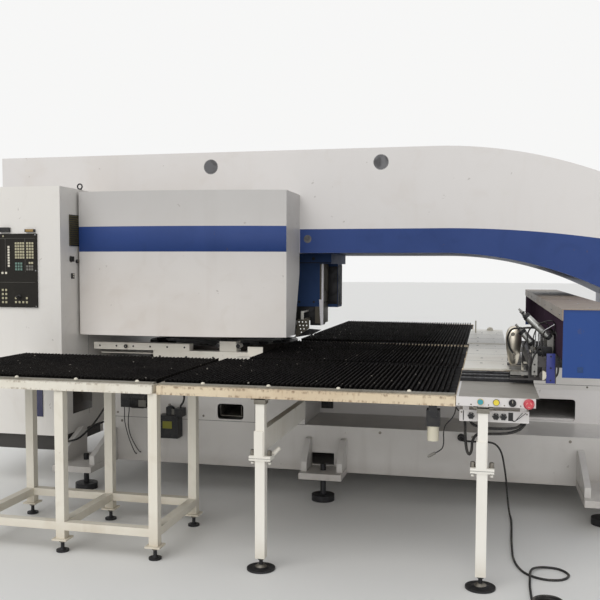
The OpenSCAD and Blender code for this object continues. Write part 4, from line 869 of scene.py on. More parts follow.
@dataclass
class Studio:
    """The camera, the light and the floor."""

    stand: Point = (1.075, -6.5, 1.52)
    yaw: float = 12.85
    pitch: float = 3.5
    roll: float = 0.19
    focus: float = 820.0
    width: float = 600.0
    drop: float = 19.0
    film: float = 36.0
    floor_r: float = 90.0
    ambient: float = 0.56
    key: float = 1.05
    fill: float = 0.62

    def camera(self) -> None:
        """Stands the camera where the photograph was taken from."""
        yaw, pitch, roll = (math.radians(a) for a in (self.yaw, self.pitch, self.roll))
        ahead = Vector((-math.sin(yaw) * math.cos(pitch), math.cos(yaw) * math.cos(pitch), -math.sin(pitch)))
        right = Vector((math.cos(yaw), math.sin(yaw), 0.0))
        up = right.cross(ahead)
        side = right * math.cos(roll) + up * math.sin(roll)
        over = up * math.cos(roll) - right * math.sin(roll)
        lens = bpy.data.cameras.new("camera")
        lens.sensor_width = self.film
        lens.lens = self.focus / self.width * self.film
        lens.shift_y = self.drop / self.width
        lens.clip_end = 200.0
        eye = bpy.data.objects.new("camera", lens)
        turn = Matrix((side, over, -ahead)).transposed().to_4x4()
        eye.matrix_world = Matrix.Translation(self.stand) @ turn
        bpy.context.scene.collection.objects.link(eye)
        bpy.context.scene.camera = eye

    def light(self) -> None:
        """Hangs a soft sky, white where it is seen, with a key light and a fill light."""
        world = bpy.data.worlds.new("sky")
        bpy.context.scene.world = world
        world.use_nodes = True
        tree = world.node_tree
        tree.nodes.clear()
        kinds = ("Background", "Background", "LightPath", "Math", "Math", "MixShader", "OutputWorld")
        sky, white, path, seen, through, both, end = (tree.nodes.new(f"ShaderNode{kind}") for kind in kinds)
        sky.inputs[0].default_value = (0.97, 0.98, 1.0, 1.0)
        sky.inputs[1].default_value = self.ambient
        white.inputs[0].default_value = (0.93, 0.93, 0.925, 1.0)
        seen.operation = through.operation = "MAXIMUM"
        for source, target in (
            (path.outputs["Is Camera Ray"], seen.inputs[0]),
            (path.outputs["Is Glossy Ray"], seen.inputs[1]),
            (seen.outputs[0], through.inputs[0]),
            (path.outputs["Is Transmission Ray"], through.inputs[1]),
            (through.outputs[0], both.inputs[0]),
            (sky.outputs[0], both.inputs[1]),
            (white.outputs[0], both.inputs[2]),
            (both.outputs[0], end.inputs[0]),
        ):
            tree.links.new(source, target)
        self.lamp("key", self.key, 50, (42, -14, -8))
        self.lamp("fill", self.fill, 40, (80, 0, 6))

    def lamp(self, name: str, power: float, spread: float, turn: Point) -> None:
        """Hangs one far lamp.

        Args:
            name: Its name.
            power: Its strength.
            spread: How wide it looks, in degrees.
            turn: Its turns about x, y and z, in degrees.
        """
        light = bpy.data.lights.new(name, "SUN")
        light.energy = power
        light.angle = math.radians(spread)
        light.color = (1.0, 0.985, 0.96)
        hung = bpy.data.objects.new(name, light)
        hung.rotation_euler = tuple(math.radians(a) for a in turn)
        bpy.context.scene.collection.objects.link(hung)

    def floor(self) -> None:
        """Lays the pale floor."""
        mesh = bmesh.new()
        bmesh.ops.create_circle(mesh, cap_ends=True, segments=64, radius=self.floor_r)
        data = bpy.data.meshes.new("floor")
        mesh.to_mesh(data)
        mesh.free()
        ground = bpy.data.objects.new("floor", data)
        ground.location = (0, 0, -0.0005)
        bpy.context.scene.collection.objects.link(ground)
        sh = Shader("floor_pale")
        colour = sh.mix(sh.noise(0.8, 4) * 0.25, tone(234, 234, 232), tone(226, 226, 224))
        data.materials.append(sh.finish(Base_Color=colour, Roughness=0.55))

    def build(self) -> None:
        """Sets up the whole studio."""
        bpy.context.scene.view_settings.view_transform = "Standard"
        self.camera()
        self.light()
        self.floor()


@dataclass
class Cords:
    """The free cable to the foot switch and the short lead at the table's edge, with all sizes in millimetres."""

    cable_r: float = 6
    lead_r: float = 3
    coil: Point = (1365, -2760, 6)
    coil_r: float = 65
    turns: int = 3
    coil_top: float = 32.5
    route: tuple[Point, ...] = (
        (927, -1196, 436), (927, -1212, 436), (930, -1236, 436), (950, -1262, 436), (1010, -1280, 438),
        (1080, -1288, 442), (1140, -1290, 430), (1178, -1292, 380), (1198, -1294, 290), (1212, -1298, 190),
        (1222, -1312, 80), (1232, -1360, 18), (1240, -1440, 6), (1238, -1600, 6), (1232, -1800, 6),
        (1230, -2000, 6), (1232, -2126, 6), (1250, -2250, 6), (1292, -2350, 6), (1370, -2402, 6),
        (1455, -2388, 6), (1494, -2316, 6), (1455, -2244, 6), (1382, -2236, 8), (1328, -2285, 16),
        (1308, -2350, 19), (1302, -2425, 12), (1298, -2510, 6), (1298, -2620, 6), (1300, -2700, 6),
    )
    relief: tuple[Point, ...] = (
        (1369, -2825, 38.5), (1393, -2825, 36.5), (1417, -2825, 27.5), (1437, -2825, 19), (1457, -2825, 16),
    )
    lead: tuple[Point, ...] = (
        (955, -2510, 842), (949, -2510, 842), (943, -2516, 851), (939, -2532, 860), (938, -2552, 853),
        (933, -2564, 834), (922, -2568, 813), (906, -2567, 795), (892, -2566, 777), (885, -2565, 755),
        (883, -2564, 732), (884, -2564, 708), (883, -2563, 684), (877, -2562, 664), (862, -2561, 650),
        (845, -2560, 640),
    )

    def winding(self) -> list[Point]:
        """Lays the coil's turns on each other.

        Returns:
            The coil's points.
        """
        steps, points = 16, []
        x, y, z = self.coil
        for i in range(self.turns * steps + steps // 4 - 1):
            a = math.pi + 2 * math.pi * i / steps
            lift = min(2 * self.cable_r * 1.03 * i / steps, self.coil_top)
            points.append((x + self.coil_r * math.cos(a), y + self.coil_r * math.sin(a), z + lift))
        return points

    def build(self, looks: Finishes) -> None:
        """Lays both cords.

        Args:
            looks: The finishes of the press.
        """
        line = smooth(metres([*self.route, *self.winding(), *self.relief]), 4)
        thick, thin = self.cable_r * MM, self.lead_r * MM
        flex = settle(
            spline("floor_cord", line, thick), "machine", looks.rubber, ("floor_cable", "floor_coil")
        )
        metres(self.route)[0]
        run_length(line)
        fine = smooth(metres(self.lead), 4)
        lead = settle(spline("table_lead", fine, thin), "machine", looks.rubber, ("hanging_lead",))
        metres(self.lead)[0]
        run_length(fine)


@dataclass
class BridgeFrame:
    """The bridge frame with the painted bands of its arm."""

    front: float = -0.650
    back: float = 0.650
    proud: float = 0.6 * MM
    under: float = 1.635
    under_start: float = 0.750
    under_r: float = 2.550
    band_top: float = 1.808
    band_top_r: float = 7.400
    left: float = -0.262
    right: float = 1.950
    hole: Point = (-0.205, 1.737, 0.029)

    def arc(self, x: float, level: float, radius: float) -> Pair:
        """Gives a point of an edge that is level and then drops in an arc."""
        past = max(x - self.under_start, 0.0)
        return x, level - (radius - math.sqrt(radius**2 - past**2))

    def build(self, looks: Finishes) -> None:
        """Dresses the frame, and paints the blue band on both faces and under the arm.

        Args:
            looks: The finishes of the press.
        """
        dress(looks.frame, "bridge_frame")
        dress(looks.plug, "frame_plugs")
        xs = [self.left] + [self.under_start + (self.right - self.under_start) * i / 24 for i in range(25)]
        low = [self.arc(x, self.under + 0.4 * MM, self.under_r) for x in xs]
        outline = low + [self.arc(x, self.band_top, self.band_top_r) for x in reversed(xs)]
        front = Piece("band_front").plate(outline, [circle(*self.hole, 32)], (self.front - self.proud, self.front))
        rear = Piece("band_rear").plate(outline, [], (self.back, self.back + self.proud))
        rows = [[(x, y, z - 0.4 * MM - self.proud) for y in (self.front, self.back)] for x, z in low]
        for piece in (front, rear, Piece("band_under").sheet(rows)):
            piece.place(looks.band, "blue_paint")


@dataclass
class TurretCover:
    """The bowed cover with its blue band."""

    left: float = -1.750
    right: float = -0.265
    front: float = -1.180
    bow_r: float = 4.600
    bow_x: float = -1.350
    band: Pair = (1.636, 1.812)

    def bow(self, x: float, proud: float) -> float:
        """Gives the cover's front at x, standing proud of the sheet."""
        return self.front + self.bow_r - math.sqrt((self.bow_r + proud) ** 2 - (x - self.bow_x) ** 2)

    def build(self, looks: Finishes) -> None:
        """Dresses the cover and paints its band.

        Args:
            looks: The finishes of the press.
        """
        dress(looks.cover, "turret_cover")
        low, high = self.band
        section = ((0.0, low), (0.6 * MM, low + MM), (0.6 * MM, high - MM), (0.0, high))
        places = [self.left + (self.right - self.left) * i / 32 for i in range(33)]
        rows = [[(x, self.bow(x, proud), z) for proud, z in section] for x in places]
        Piece("cover_band").sheet(rows).place(looks.band, "blue_paint")


@dataclass
class Field:
    """One field of brushes, from front to back."""

    name: str
    x: Pair
    y: Pair


@dataclass
class BrushTables:
    """The brush tables: boards, tufts, strips and their screws."""

    top: float = 0.920
    tip: float = 0.945
    board: float = 0.015
    thin: float = 24.5 * MM
    pitch: float = 25 * MM
    row: float = 11 * MM
    step: float = 12 * MM
    keep: float = 15 * MM
    root_r: float = 3.2 * MM
    tip_r: float = 4.4 * MM
    taper: float = 2.2 * MM
    lean: float = 1.1 * MM
    uneven: float = 1.4 * MM
    strip: float = 9 * MM
    joints: tuple[Pair, ...] = ((-1.4465, -1.3935), (-0.6755, -0.6185), (0.5735, 0.6305))
    heads: tuple[float, ...] = (-1.75, -1.40, -1.05, -0.70, -0.338, 0.010, 0.367, 0.715)
    seed: int = 5
    fields: tuple[Field, ...] = (
        Field("brushes_side", (-2.000, -0.594), (-2.5195, -1.4745)),
        Field("brushes_front", (-0.568, 0.937), (-2.5195, -1.4445)),
        Field("brushes_mid", (-0.430, 0.937), (-1.3955, -0.6735)),
        Field("brushes_throat_front", (-0.430, 0.937), (-0.6205, -0.0445)),
        Field("brushes_throat_rear", (-0.430, 0.937), (0.1245, 0.5755)),
        Field("brushes_rear", (-0.430, 0.937), (0.6285, 2.5595)),
    )

    def tufts(self, plot: Field, dice: random.Random) -> tuple[list[Point], list[tuple[int, ...]]]:
        """Stands a field's tufts in rows.

        Args:
            plot: The field.
            dice: The source of each tuft's lean.

        Returns:
            The corners and the faces of the tufts.
        """
        left, right = plot.x[0] + self.thin, plot.x[1] - self.thin
        count = int((right - left - self.row) / self.pitch)
        margin = (right - left - count * self.pitch - self.row) / 2
        along = int((plot.y[1] - plot.y[0] - self.row) / self.step)
        verts: list[Point] = []
        faces: list[tuple[int, ...]] = []
        for i in range(-1, count + 2):
            cx = left + margin + i * self.pitch + self.row / 2
            if cx > plot.x[1] - self.keep:
                continue
            for j in range(along + 1):
                cy = plot.y[0] + self.row / 2 + j * self.step
                tip_x = cx + dice.uniform(-self.lean, self.lean)
                tip_y = cy + dice.uniform(-self.lean, self.lean)
                start, turn = len(verts), dice.uniform(0, 1.2)
                high = self.tip - dice.uniform(0, self.uneven)
                root, shoulder = (cx, cy, self.top, self.root_r), (tip_x, tip_y, high - self.taper, self.tip_r)
                for x, y, z, radius in (root, shoulder):
                    angles = [turn + k * 2 * math.pi / 5 for k in range(5)]
                    verts += [(x + radius * math.cos(a), y + radius * math.sin(a), z) for a in angles]
                verts.append((tip_x, tip_y, high))
                for k in range(5):
                    m = (k + 1) % 5
                    faces.append((start + k, start + m, start + 5 + m, start + 5 + k))
                    faces.append((start + 5 + k, start + 5 + m, start + 10))
        return verts, faces

    def brushes(self, looks: Finishes) -> None:
        """Makes every field of tufts and the boards under them.

        Args:
            looks: The finishes of the press.
        """
        dice = random.Random(self.seed)
        boards = Piece("brush_boards")
        for plot in self.fields:
            verts, faces = self.tufts(plot, dice)
            data = bpy.data.meshes.new(plot.name)
            data.from_pydata(verts, [], faces)
            thing = bpy.data.objects.new(plot.name, data)
            bpy.context.scene.collection.objects.link(thing)
            data.materials.append(looks.bristle)
            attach(thing, "machine")
            if plot is self.fields[0]:
                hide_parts("brush_panels")
            boards.block((plot.x[0] + self.thin, plot.x[1] - self.thin), plot.y, (self.top - self.board, self.top), 1)
            boards.block((plot.x[0] + MM, plot.x[1] - MM), plot.y, off(self.top, 0, 0.6))
            log.info("%s has %d tufts", plot.name, len(verts) // 11)
        for joint in self.joints:
            boards.block((-0.4285, 0.9355), joint, off(self.top, -1, 3), 1)
        boards.place(looks.board, "brush_black")

    def build(self, looks: Finishes) -> None:
        """Dresses the tables: brushes, and strips with round-headed screws on the front rails.

        Args:
            looks: The finishes of the press.
        """
        dress(looks.rails, "table_frames")
        self.brushes(looks)
        heads, strips = Piece("rail_screws"), Piece("rail_strips")
        level = self.top + self.strip
        for x in ((-1.996, -0.600), (-0.564, 0.933)):
            strips.block(x, (-2.5595, -2.5215), (self.top, level), 1)
            strips.block(x, (-2.5606, -2.5595), (self.top - 0.007, level - MM), 0.3)
        strips.place(looks.strip, "cream_paint")
        for x in self.heads:
            heads.lathe((x, -2.540, level - MM), UP, ((0, 11), (4, 11), (8, 8.5), (10.5, 4), (11, 0)), 18)
        heads.place(looks.white_cap, "white_paint")


@dataclass
class KeyField:
    """One field of square keys on the operator's panel."""

    left: float
    low: float
    columns: int
    rows: int
    across: float
    up: float
    finish: str = "keys"


@dataclass
class ControlCabinet:
    """The control cabinet, its door, its fittings and the operator's panel."""

    right: float = -1.765
    front: float = -1.400
    panel_x: Pair = (-2.500, -1.937)
    panel_z: Pair = (1.248, 1.755)
    panel_t: float = 0.012
    # Side of a key in millimetres
    key: float = 14
    lamps: tuple[float, ...] = (-2.334, -2.268, -2.190)
    lamp_z: float = 1.738
    display_x: Pair = (-2.470, -2.235)
    display_z: Pair = (1.500, 1.720)
    stick: Pair = (-2.072, 1.322)
    vent_y: Pair = (-1.274, -1.100)
    vent_z: Pair = (1.674, 1.892)
    slats: int = 14
    fields: tuple[KeyField, ...] = (
        KeyField(-2.100, 1.584, 4, 6, 0.019, 0.0195),
        KeyField(-2.013, 1.584, 3, 6, 0.020, 0.0195),
        KeyField(-2.156, 1.527, 1, 8, 0.019, 0.0185, "white_cap"),
        KeyField(-2.100, 1.503, 3, 3, 0.020, 0.020, "soft_keys"),
        KeyField(-2.015, 1.503, 3, 2, 0.019, 0.020, "grey_keys"),
        KeyField(-1.996, 1.547, 2, 1, 0.019, 0.020),
        KeyField(-2.206, 1.478, 2, 1, 0.028, 0.028, "white_cap"),
        KeyField(-2.206, 1.276, 2, 4, 0.026, 0.028),
        KeyField(-2.106, 1.305, 2, 1, 0.084, 0.028),
        KeyField(-2.106, 1.277, 4, 1, 0.028, 0.028),
    )

    def panel(self, looks: Finishes) -> None:
        """Dresses the panel: keys, display, lamps, screws and the stick's boot.

        Args:
            looks: The finishes of the press.
        """
        face = self.front - self.panel_t
        for finish in ("keys", "white_cap", "soft_keys", "grey_keys"):
            caps = Piece(f"caps_{finish}")
            for plot in (p for p in self.fields if p.finish == finish):
                for i, j in product(range(plot.columns), range(plot.rows)):
                    x, z = plot.left + i * plot.across, plot.low + j * plot.up
                    caps.block(off(x, -0.3, self.key + 0.3), off(face, -3.8, -0.2), off(z, -0.3, self.key + 0.3), 1.2)
            caps.place(getattr(looks, finish), "panel_plastic")
        (x0, x1), (z0, z1) = self.display_x, self.display_z
        glass = Piece("display_glass").block((x0 + MM, x1 - MM), off(face, -3.6, -2.1), (z0 + MM, z1 - MM), 0.5)
        glass.place(looks.screen, "panel_plastic")
        rim = Piece("display_rim")
        for x in (off(x0, -8, 0), off(x1, 0, 8)):
            rim.block(x, off(face, -6.2, -4), (z0 - 8 * MM, z1 + 8 * MM), 1)
        for z in (off(z0, -8, 0), off(z1, 0, 8)):
            rim.block((x0, x1), off(face, -6.2, -4), z, 1)
        rim.place(looks.black, "dark_plastic")
        lamps = Piece("panel_lamps")
        for x in self.lamps:
            lamps.lathe((x, face + MM, self.lamp_z), FRONT, ((0, 6), (3, 6), (5, 4), (6, 0)), 18)
        lamps.place(looks.keys, "panel_plastic")
        (x0, x1), (z0, z1) = self.panel_x, self.panel_z
        trim = Piece("panel_trim").bolts(
            (x0 + 9 * MM, x1 - 9 * MM), face + 0.5 * MM, (z0 + 9 * MM, (z0 + z1) / 2, z1 - 9 * MM), FRONT, 3.2, 3, 14
        )
        trim.place(looks.screw, "steel")
        lines = Piece("panel_dividers")
        for z in (1.420, 1.722):
            lines.block((-2.226, -1.950), off(face, -0.8, 0), off(z, 0, 1.4), 0.2)
        for x in (-2.176, -2.026):
            lines.block(off(x, 0, 1.4), off(face, -0.8, 0), (1.490, 1.722), 0.2)
        lines.place(looks.grey_keys, "panel_plastic")
        folds = [(2.5 * i + out, wide - 2.6 * i) for i in range(4) for out, wide in ((1.2, 15), (2.4, 13.6))]
        boot = Piece("stick_boot")
        boot.lathe((self.stick[0], face - 5.5 * MM, self.stick[1]), FRONT, [(0, 15), *folds], 30)
        boot.place(looks.rubber, "dark_plastic")

    def fittings(self, looks: Finishes) -> None:
        """Dresses what stands on the cabinet's side and front, and lays painted shade over the plinth under it.

        Args:
            looks: The finishes of the press.
        """
        x, (y0, y1), (z0, z1) = self.right, self.vent_y, self.vent_z
        slats = Piece("vent_slats")
        for i in range(self.slats):
            low = z0 + 8 * MM + i * (z1 - z0 - 10 * MM) / self.slats
            slats.block(off(x, 2.2, 13), (y0 - 5 * MM, y1 + 2 * MM), off(low, 2, 8.4), 1.2)
        slats.place(looks.vent, "dark_plastic")
        metal = Piece("cabinet_screws")
        metal.bolts(x + 5.5 * MM, (y0 + 4 * MM, y1 - 4 * MM), (z0 + 6 * MM, z1 - 6 * MM), RIGHT, 2.4, 2.4, 14)
        metal.lathe((x + 13 * MM, -1.176, 1.568), RIGHT, ((0, 10), (2, 10), (3.4, 8)), 26)
        metal.lathe((x, -1.254, 1.583), RIGHT, ((0, 24), (0.4, 24), (0.8, 19)), 30)
        for cx in (-2.567, -1.798):
            metal.lathe((cx, -1.050, 2.0765), UP, ((0, 26), (3, 26), (4.5, 23)), 30)
        metal.place(looks.zinc, "steel")
        pins = Piece("socket_pins")
        for z in (1.456, 1.472):
            pins.block(off(x, 11.5, 13), (-1.250, -1.236), off(z, 0, 9), 0.6)
        pins.place(looks.white_cap, "panel_plastic")
        for name, finish, spans, edge in (
            ("front_window", looks.blue_glass, ((-1.957, -1.913), off(self.front, -5, -3.5), (0.492, 0.678)), 0.5),
            ("side_window", looks.brown_glass, (off(x, 3.5, 5), (-1.252, -0.975), (0.494, 0.652)), 0.5),
            ("reader_lens", looks.gold, ((-2.012, -1.954), off(self.front, -23.5, -21.5), (1.767, 1.784)), 0.6),
            ("cabinet_seams", looks.gap, (off(x, 0, 0.4), (-1.0125, -1.0105), (0.4545, 2.074)), 0),
            # The plinth block is painted shade under the cabinet, not a part of its own
            ("plinth_shade_block", looks.plinth, ((-2.5405, -1.8345), (-1.3705, -0.700), (0.2545, 0.3598)), 0.4),
        ):
            Piece(name).block(*spans, edge).place(finish, "dark_plastic")

    def build(self, looks: Finishes) -> None:
        """Dresses the cabinet.

        Args:
            looks: The finishes of the press.
        """
        dress(looks.cabinet, "control_cabinet", "cabinet_door")
        dress(looks.black, "cabinet_fittings", "door_handle", "isolator_knob", "joystick")
        dress(looks.oxide, "lifting_eyes")
        dress(looks.panel, "cnc_panel")
        self.panel(looks)
        self.fittings(looks)


@dataclass
class PunchHead:
    """The ram's housing and plates under the arm, and the turrets with their tools."""

    housing_x: Pair = (-0.740, -0.180)
    housing_y: float = -0.300
    housing_z: Pair = (1.230, 1.560)
    centre: Pair = (-1.050, 0.0)
    upper: Pair = (0.985, 1.110)
    lower_face: float = 0.800
    radius: float = 0.610
    ring: float = 0.300
    screws: int = 24
    pins: int = 40
    guard: tuple[Pair, ...] = ((-0.330, 1.000), (-0.222, 1.075), (-0.222, 1.150), (-0.312, 1.140))
    skirt: tuple[Pair, ...] = (
        (-0.363, 0.998), (-0.244, 1.021), (-0.205, 1.027), (-0.128, 1.066), (-0.222, 1.072), (-0.330, 1.012),
    )
    tab: tuple[Pair, ...] = ((-0.187, 1.285), (-0.1545, 1.285), (-0.1545, 1.087), (-0.175, 1.087), (-0.182, 1.180))

    def housing(self, looks: Finishes) -> None:
        """Adds the housing's bolts, ribs and seam.

        Args:
            looks: The finishes of the press.
        """
        (x0, x1), y, (z0, z1) = self.housing_x, self.housing_y, self.housing_z
        across = [x0 + 0.05 + i * (x1 - x0 - 0.1) / 4 for i in range(5)]
        bolts = Piece("housing_bolts").bolts(across, y - 0.020, z1 + 0.038, FRONT, 9, 8)
        bolts.bolts(across, y, z0 + 0.035, FRONT, 7, 6)
        bolts.bolts(x1 + 0.014, [y + 0.04 + i * 0.055 for i in range(4)], (z1 - 0.03, z0 + 0.03), RIGHT, 7, 6)
        bolts.place(looks.oxide, "steel")
        ribs = Piece("housing_ribs")
        for i in range(4):
            rib = -0.035 + i * 0.05
            ribs.block((x1 + 0.089, x1 + 0.094), (rib, rib + 0.022), (z0, z1 - 0.01), 2)
        ribs.block((x1 + 0.006, x1 + 0.088), (-0.044, -0.040), (z0 + 0.01, z1 - 0.02), 1)
        ribs.place(looks.oxide, "steel")
        seam = Piece("housing_seam").block((x0 - 0.018, x1 + 0.088), (y - 0.0212, y - 0.0200), (z1 + 0.004, z1 + 0.010))
        seam.place(looks.gap, "dark_plastic")

    def guards(self, looks: Finishes) -> None:
        """Adds the guard plate with its skirt and tabs, and the side plate's edge and cheek.

        Args:
            looks: The finishes of the press.
        """
        holes = [
            circle(-0.300 + k * 0.026 + row * 0.006, 1.122 - row * 0.026, 5 * MM, 10)
            for row, columns in enumerate((3, 3, 2, 1)) for k in range(columns)
        ]
        guard = Piece("guard_plate").plate(self.guard, holes, (-0.503, -0.500))
        guard.block((-0.262, -0.256), (-0.501, -0.300), (1.128, 1.150), 1).place(looks.guard, "dark_metal")
        skirt = Piece("guard_skirt").plate(self.skirt, [], (-0.4995, -0.4965))
        skirt.block((-0.400, -0.190), (-0.285, -0.120), (1.120, 1.230), 3)
        skirt.block((-0.262, -0.174), (-0.285, -0.120), (1.083, 1.122), 3)
        skirt.bolts([-0.365 + i * 0.07 for i in range(3)], -0.285, 1.200, FRONT, 6, 5)
        skirt.place(looks.oxide, "dark_metal")
        tabs = Piece("guard_tabs").block((-0.286, -0.264), (-0.506, -0.500), (1.140, 1.204), 2)
        tabs.block((-0.276, -0.270), (-0.502, -0.300), (1.190, 1.204), 1).place(looks.legs, "white_paint")
        # The edge takes the brighter white as painted light against the shade under the arm
        edge = Piece("side_plate_edge").block((-0.1700, -0.1545), (-0.3032, -0.2985), (1.090, 1.560), 1)
        edge.plate(self.tab, [], (-0.3062, -0.3030)).place(looks.side_plate, "white_paint")
        cheek = Piece("side_plate_cheek")
        cheek.block((-0.1660, -0.1638), (-0.2985, -0.0605), (1.100, 1.5595), 0.4)
        cheek.block((-0.1835, -0.1705), (-0.3012, -0.2995), (1.100, 1.5595), 0.4)
        for i in range(5):
            rib = -0.275 + i * 0.045
            cheek.block((-0.1640, -0.1590), (rib, rib + 0.018), (1.350, 1.550), 1)
        cheek.block((-0.1640, -0.1600), (-0.290, -0.070), (1.300, 1.312), 1).place(looks.guard, "dark_metal")

    def discs(self, looks: Finishes) -> None:
        """Adds the discs' screws and pins.

        Args:
            looks: The finishes of the press.
        """
        for name, body, level, way in (
            ("upper_screws", "upper_turret", self.upper[1], UP), ("lower_screws", "lower_turret", self.lower_face, DOWN)
        ):
            heads = Piece(name)
            for x, y in ring_places(self.centre, self.ring, self.screws):
                heads.bolts(x, y, level, way, 9, 8)
            heads.place(looks.oxide, "dark_metal", body)
        pins = Piece("disc_pins")
        for x, y in ring_places(self.centre, self.radius, self.pins):
            way = (x - self.centre[0], y - self.centre[1], 0)
            pins.lathe((x, y, sum(self.upper) / 2 + 0.03), way, ((-1, 6), (0.6, 6), (1.2, 4.5)), 14)
        pins.place(looks.oxide, "dark_metal", "upper_turret")

    def build(self, looks: Finishes) -> None:
        """Dresses the punch head.

        Args:
            looks: The finishes of the press.
        """
        dress(looks.navy, "ram_housing")
        dress(looks.guard, "ram_side_plate")
        dress(looks.turned, "upper_turret", "lower_turret")
        dress(looks.screw, "ram", "index_pins", "upper_spindle", "lower_spindle")
        dress(looks.zinc, "punches", "struck_punch")
        dress(looks.oxide, "dies", "machine_drives")
        self.housing(looks)
        self.guards(looks)
        self.discs(looks)


@dataclass
class Undercarriage:
    """The base with its casings, feet, fluid units and cables, and the bars under the cover."""

    front: float = -1.150
    base_top: float = 0.470
    casing_z: Pair = (0.470, 0.860)
    casing_x: Pair = (-1.500, -0.110)
    casing_screws: tuple[float, ...] = (-1.472, -1.13, -0.83, -0.44, -0.138)
    base_screws: tuple[float, ...] = (-1.44, -0.9, -0.3, 0.4, 1.0, 1.6, 2.2)
    plate_screws: tuple[float, ...] = (1.37, 1.75, 2.13, 2.47)
    plate_front: float = -0.654
    brackets: tuple[float, ...] = (-1.752, -0.098, 1.640)
    beads: int = 26
    seed: int = 11

    def plates(self, looks: Finishes) -> None:
        """Adds screws, seams and weld beads to the base.

        Args:
            looks: The finishes of the press.
        """
        y, (z0, z1) = self.front, self.casing_z
        screws = Piece("casing_screws")
        screws.bolts(self.casing_screws, y, (z0 + 0.03, z1 - 0.03), FRONT, 6, 4)
        screws.bolts(self.base_screws, y, self.base_top - 0.03, FRONT, 7, 5)
        screws.bolts(self.plate_screws, self.plate_front, (0.720, 0.850), FRONT, 5, 3.5)
        screws.place(looks.zinc, "steel")
        seams = Piece("casing_seams")
        for x in (-0.460, -0.880):
            seams.block(off(x, 0, 1.6), off(y, -0.4, 0), (z0 + 2 * MM, z1 - 2 * MM))
        seams.block(self.casing_x, off(y, -0.5, 0), off(z0, -1, 1.5))
        seams.block((1.345, 2.495), (-0.6546, -0.6540), (0.731, 0.7335)).place(looks.gap, "dark_plastic")
        welds, dice = Piece("base_welds"), random.Random(self.seed)
        for side, start, i in product((-1, 1), self.brackets, range(2 * self.beads)):
            x = start + (4 * MM if i < self.beads else 0.276)
            bead = ((0, 0), (1.5, 4), (4.5, 5 + dice.uniform(-1, 1)), (8, 3), (9, 0))
            welds.lathe((x, side * 1.1505, 0.204 + i % self.beads * 0.0068), UP, bead, 7)
        welds.place(looks.base, "white_paint")

    def units(self, looks: Finishes) -> None:
        """Dresses the lubricator, the valve, the small box and the plugs' rims.

        Args:
            looks: The finishes of the press.
        """
        dark = Piece("unit_ribs")
        for i in range(7):
            dark.lathe((-1.329 + i * 0.013, -1.216, 0.598), RIGHT, ((0, 51), (1, 53), (5, 53), (6, 51)), 34)
        dark.lathe((-1.055, -1.1975, 0.556), UP, ((0, 22), (8, 22), (14, 15), (16, 0)), 24)
        dark.block((-1.1235, -0.9835), (-1.2465, -1.1505), (0.497, 0.5065), 2).place(looks.black, "dark_plastic")
        sight = Piece("lubricator_sight").block((-1.094, -1.026), (-1.2465, -1.244), (0.418, 0.468), 1.5)
        sight.place(looks.olive, "yellow_plastic")
        pale = Piece("unit_plates").block((-1.051, -1.014), (-1.2215, -1.2185), (0.509, 0.552), 1)
        pale.block((-1.262, -1.206), (-1.2705, -1.2665), (0.566, 0.612), 1).place(looks.grey_keys, "panel_plastic")
        rims = Piece("hole_rims")
        for x, z, r in ((-0.943, 2.274, 52), (0.326, 2.278, 52), (-0.205, 1.737, 29)):
            lip = ((-6, r - 4), (-6, r), (0.4, r + 0.2), (0.8, r + 2.2), (0.4, r + 3))
            rims.lathe((x, -0.6495, z), FRONT, lip, 48)
        rims.place(looks.rim, "dark_metal")
        hole = Piece("recess_rim")
        for x in ((-0.074, -0.068), (0.092, 0.098)):
            hole.block(x, off(self.front, -2, 2), (0.203, 0.290), 1)
        for z in ((0.202, 0.207), (0.286, 0.291)):
            hole.block((-0.074, 0.098), off(self.front, -2, 2), z, 1)
        hole.place(looks.base, "white_paint")
        ties = Piece("hose_bands").lathe((-1.4, -1.19, 0.560), UP, ((0, 9), (8, 9)), 18)
        ties.lathe((-1.06, -1.2, 0.575), UP, ((0, 9), (8, 9)), 18).place(looks.zinc, "steel")

    def build(self, looks: Finishes) -> None:
        """Dresses the undercarriage and the bars under the cover.

        Args:
            looks: The finishes of the press.
        """
        dress(looks.base, "base_box", "base_casings", "foot_brackets")
        dress(looks.oxide, "levelling_feet")
        dress(looks.zinc, "slug_chute")
        dress(looks.black, "base_wall_units")
        dress(looks.rubber, "held_cables")
        dress(looks.rails_white, "tool_change_bars")
        self.plates(looks)
        self.units(looks)
        bars = Piece("bar_screws").bolts([-1.66 + i * 0.13 for i in range(6)], -1.040, 0.961, FRONT, 5, 4)
        bars.bolts((-1.2, -1.0, -0.8, -0.62), -1.030, 0.892, FRONT, 6, 5).place(looks.oxide, "steel")
        latch, socket = Piece("latch_cap"), ((0, 14), (6, 14), (8, 12), (8, 5), (6, 0))
        latch.lathe((-1.450, -1.055, 0.961), FRONT, socket, 26)
        for x in (-0.775, -0.625):
            latch.lathe((x, -1.0005, 0.976), FRONT, ((0, 15.4), (2, 15.4), (2.6, 11), (0.5, 9)), 26)
        latch.block((-0.7625, -0.6375), (-1.0008, -0.900), (1.0075, 1.0092), 0.3).place(looks.black, "dark_plastic")


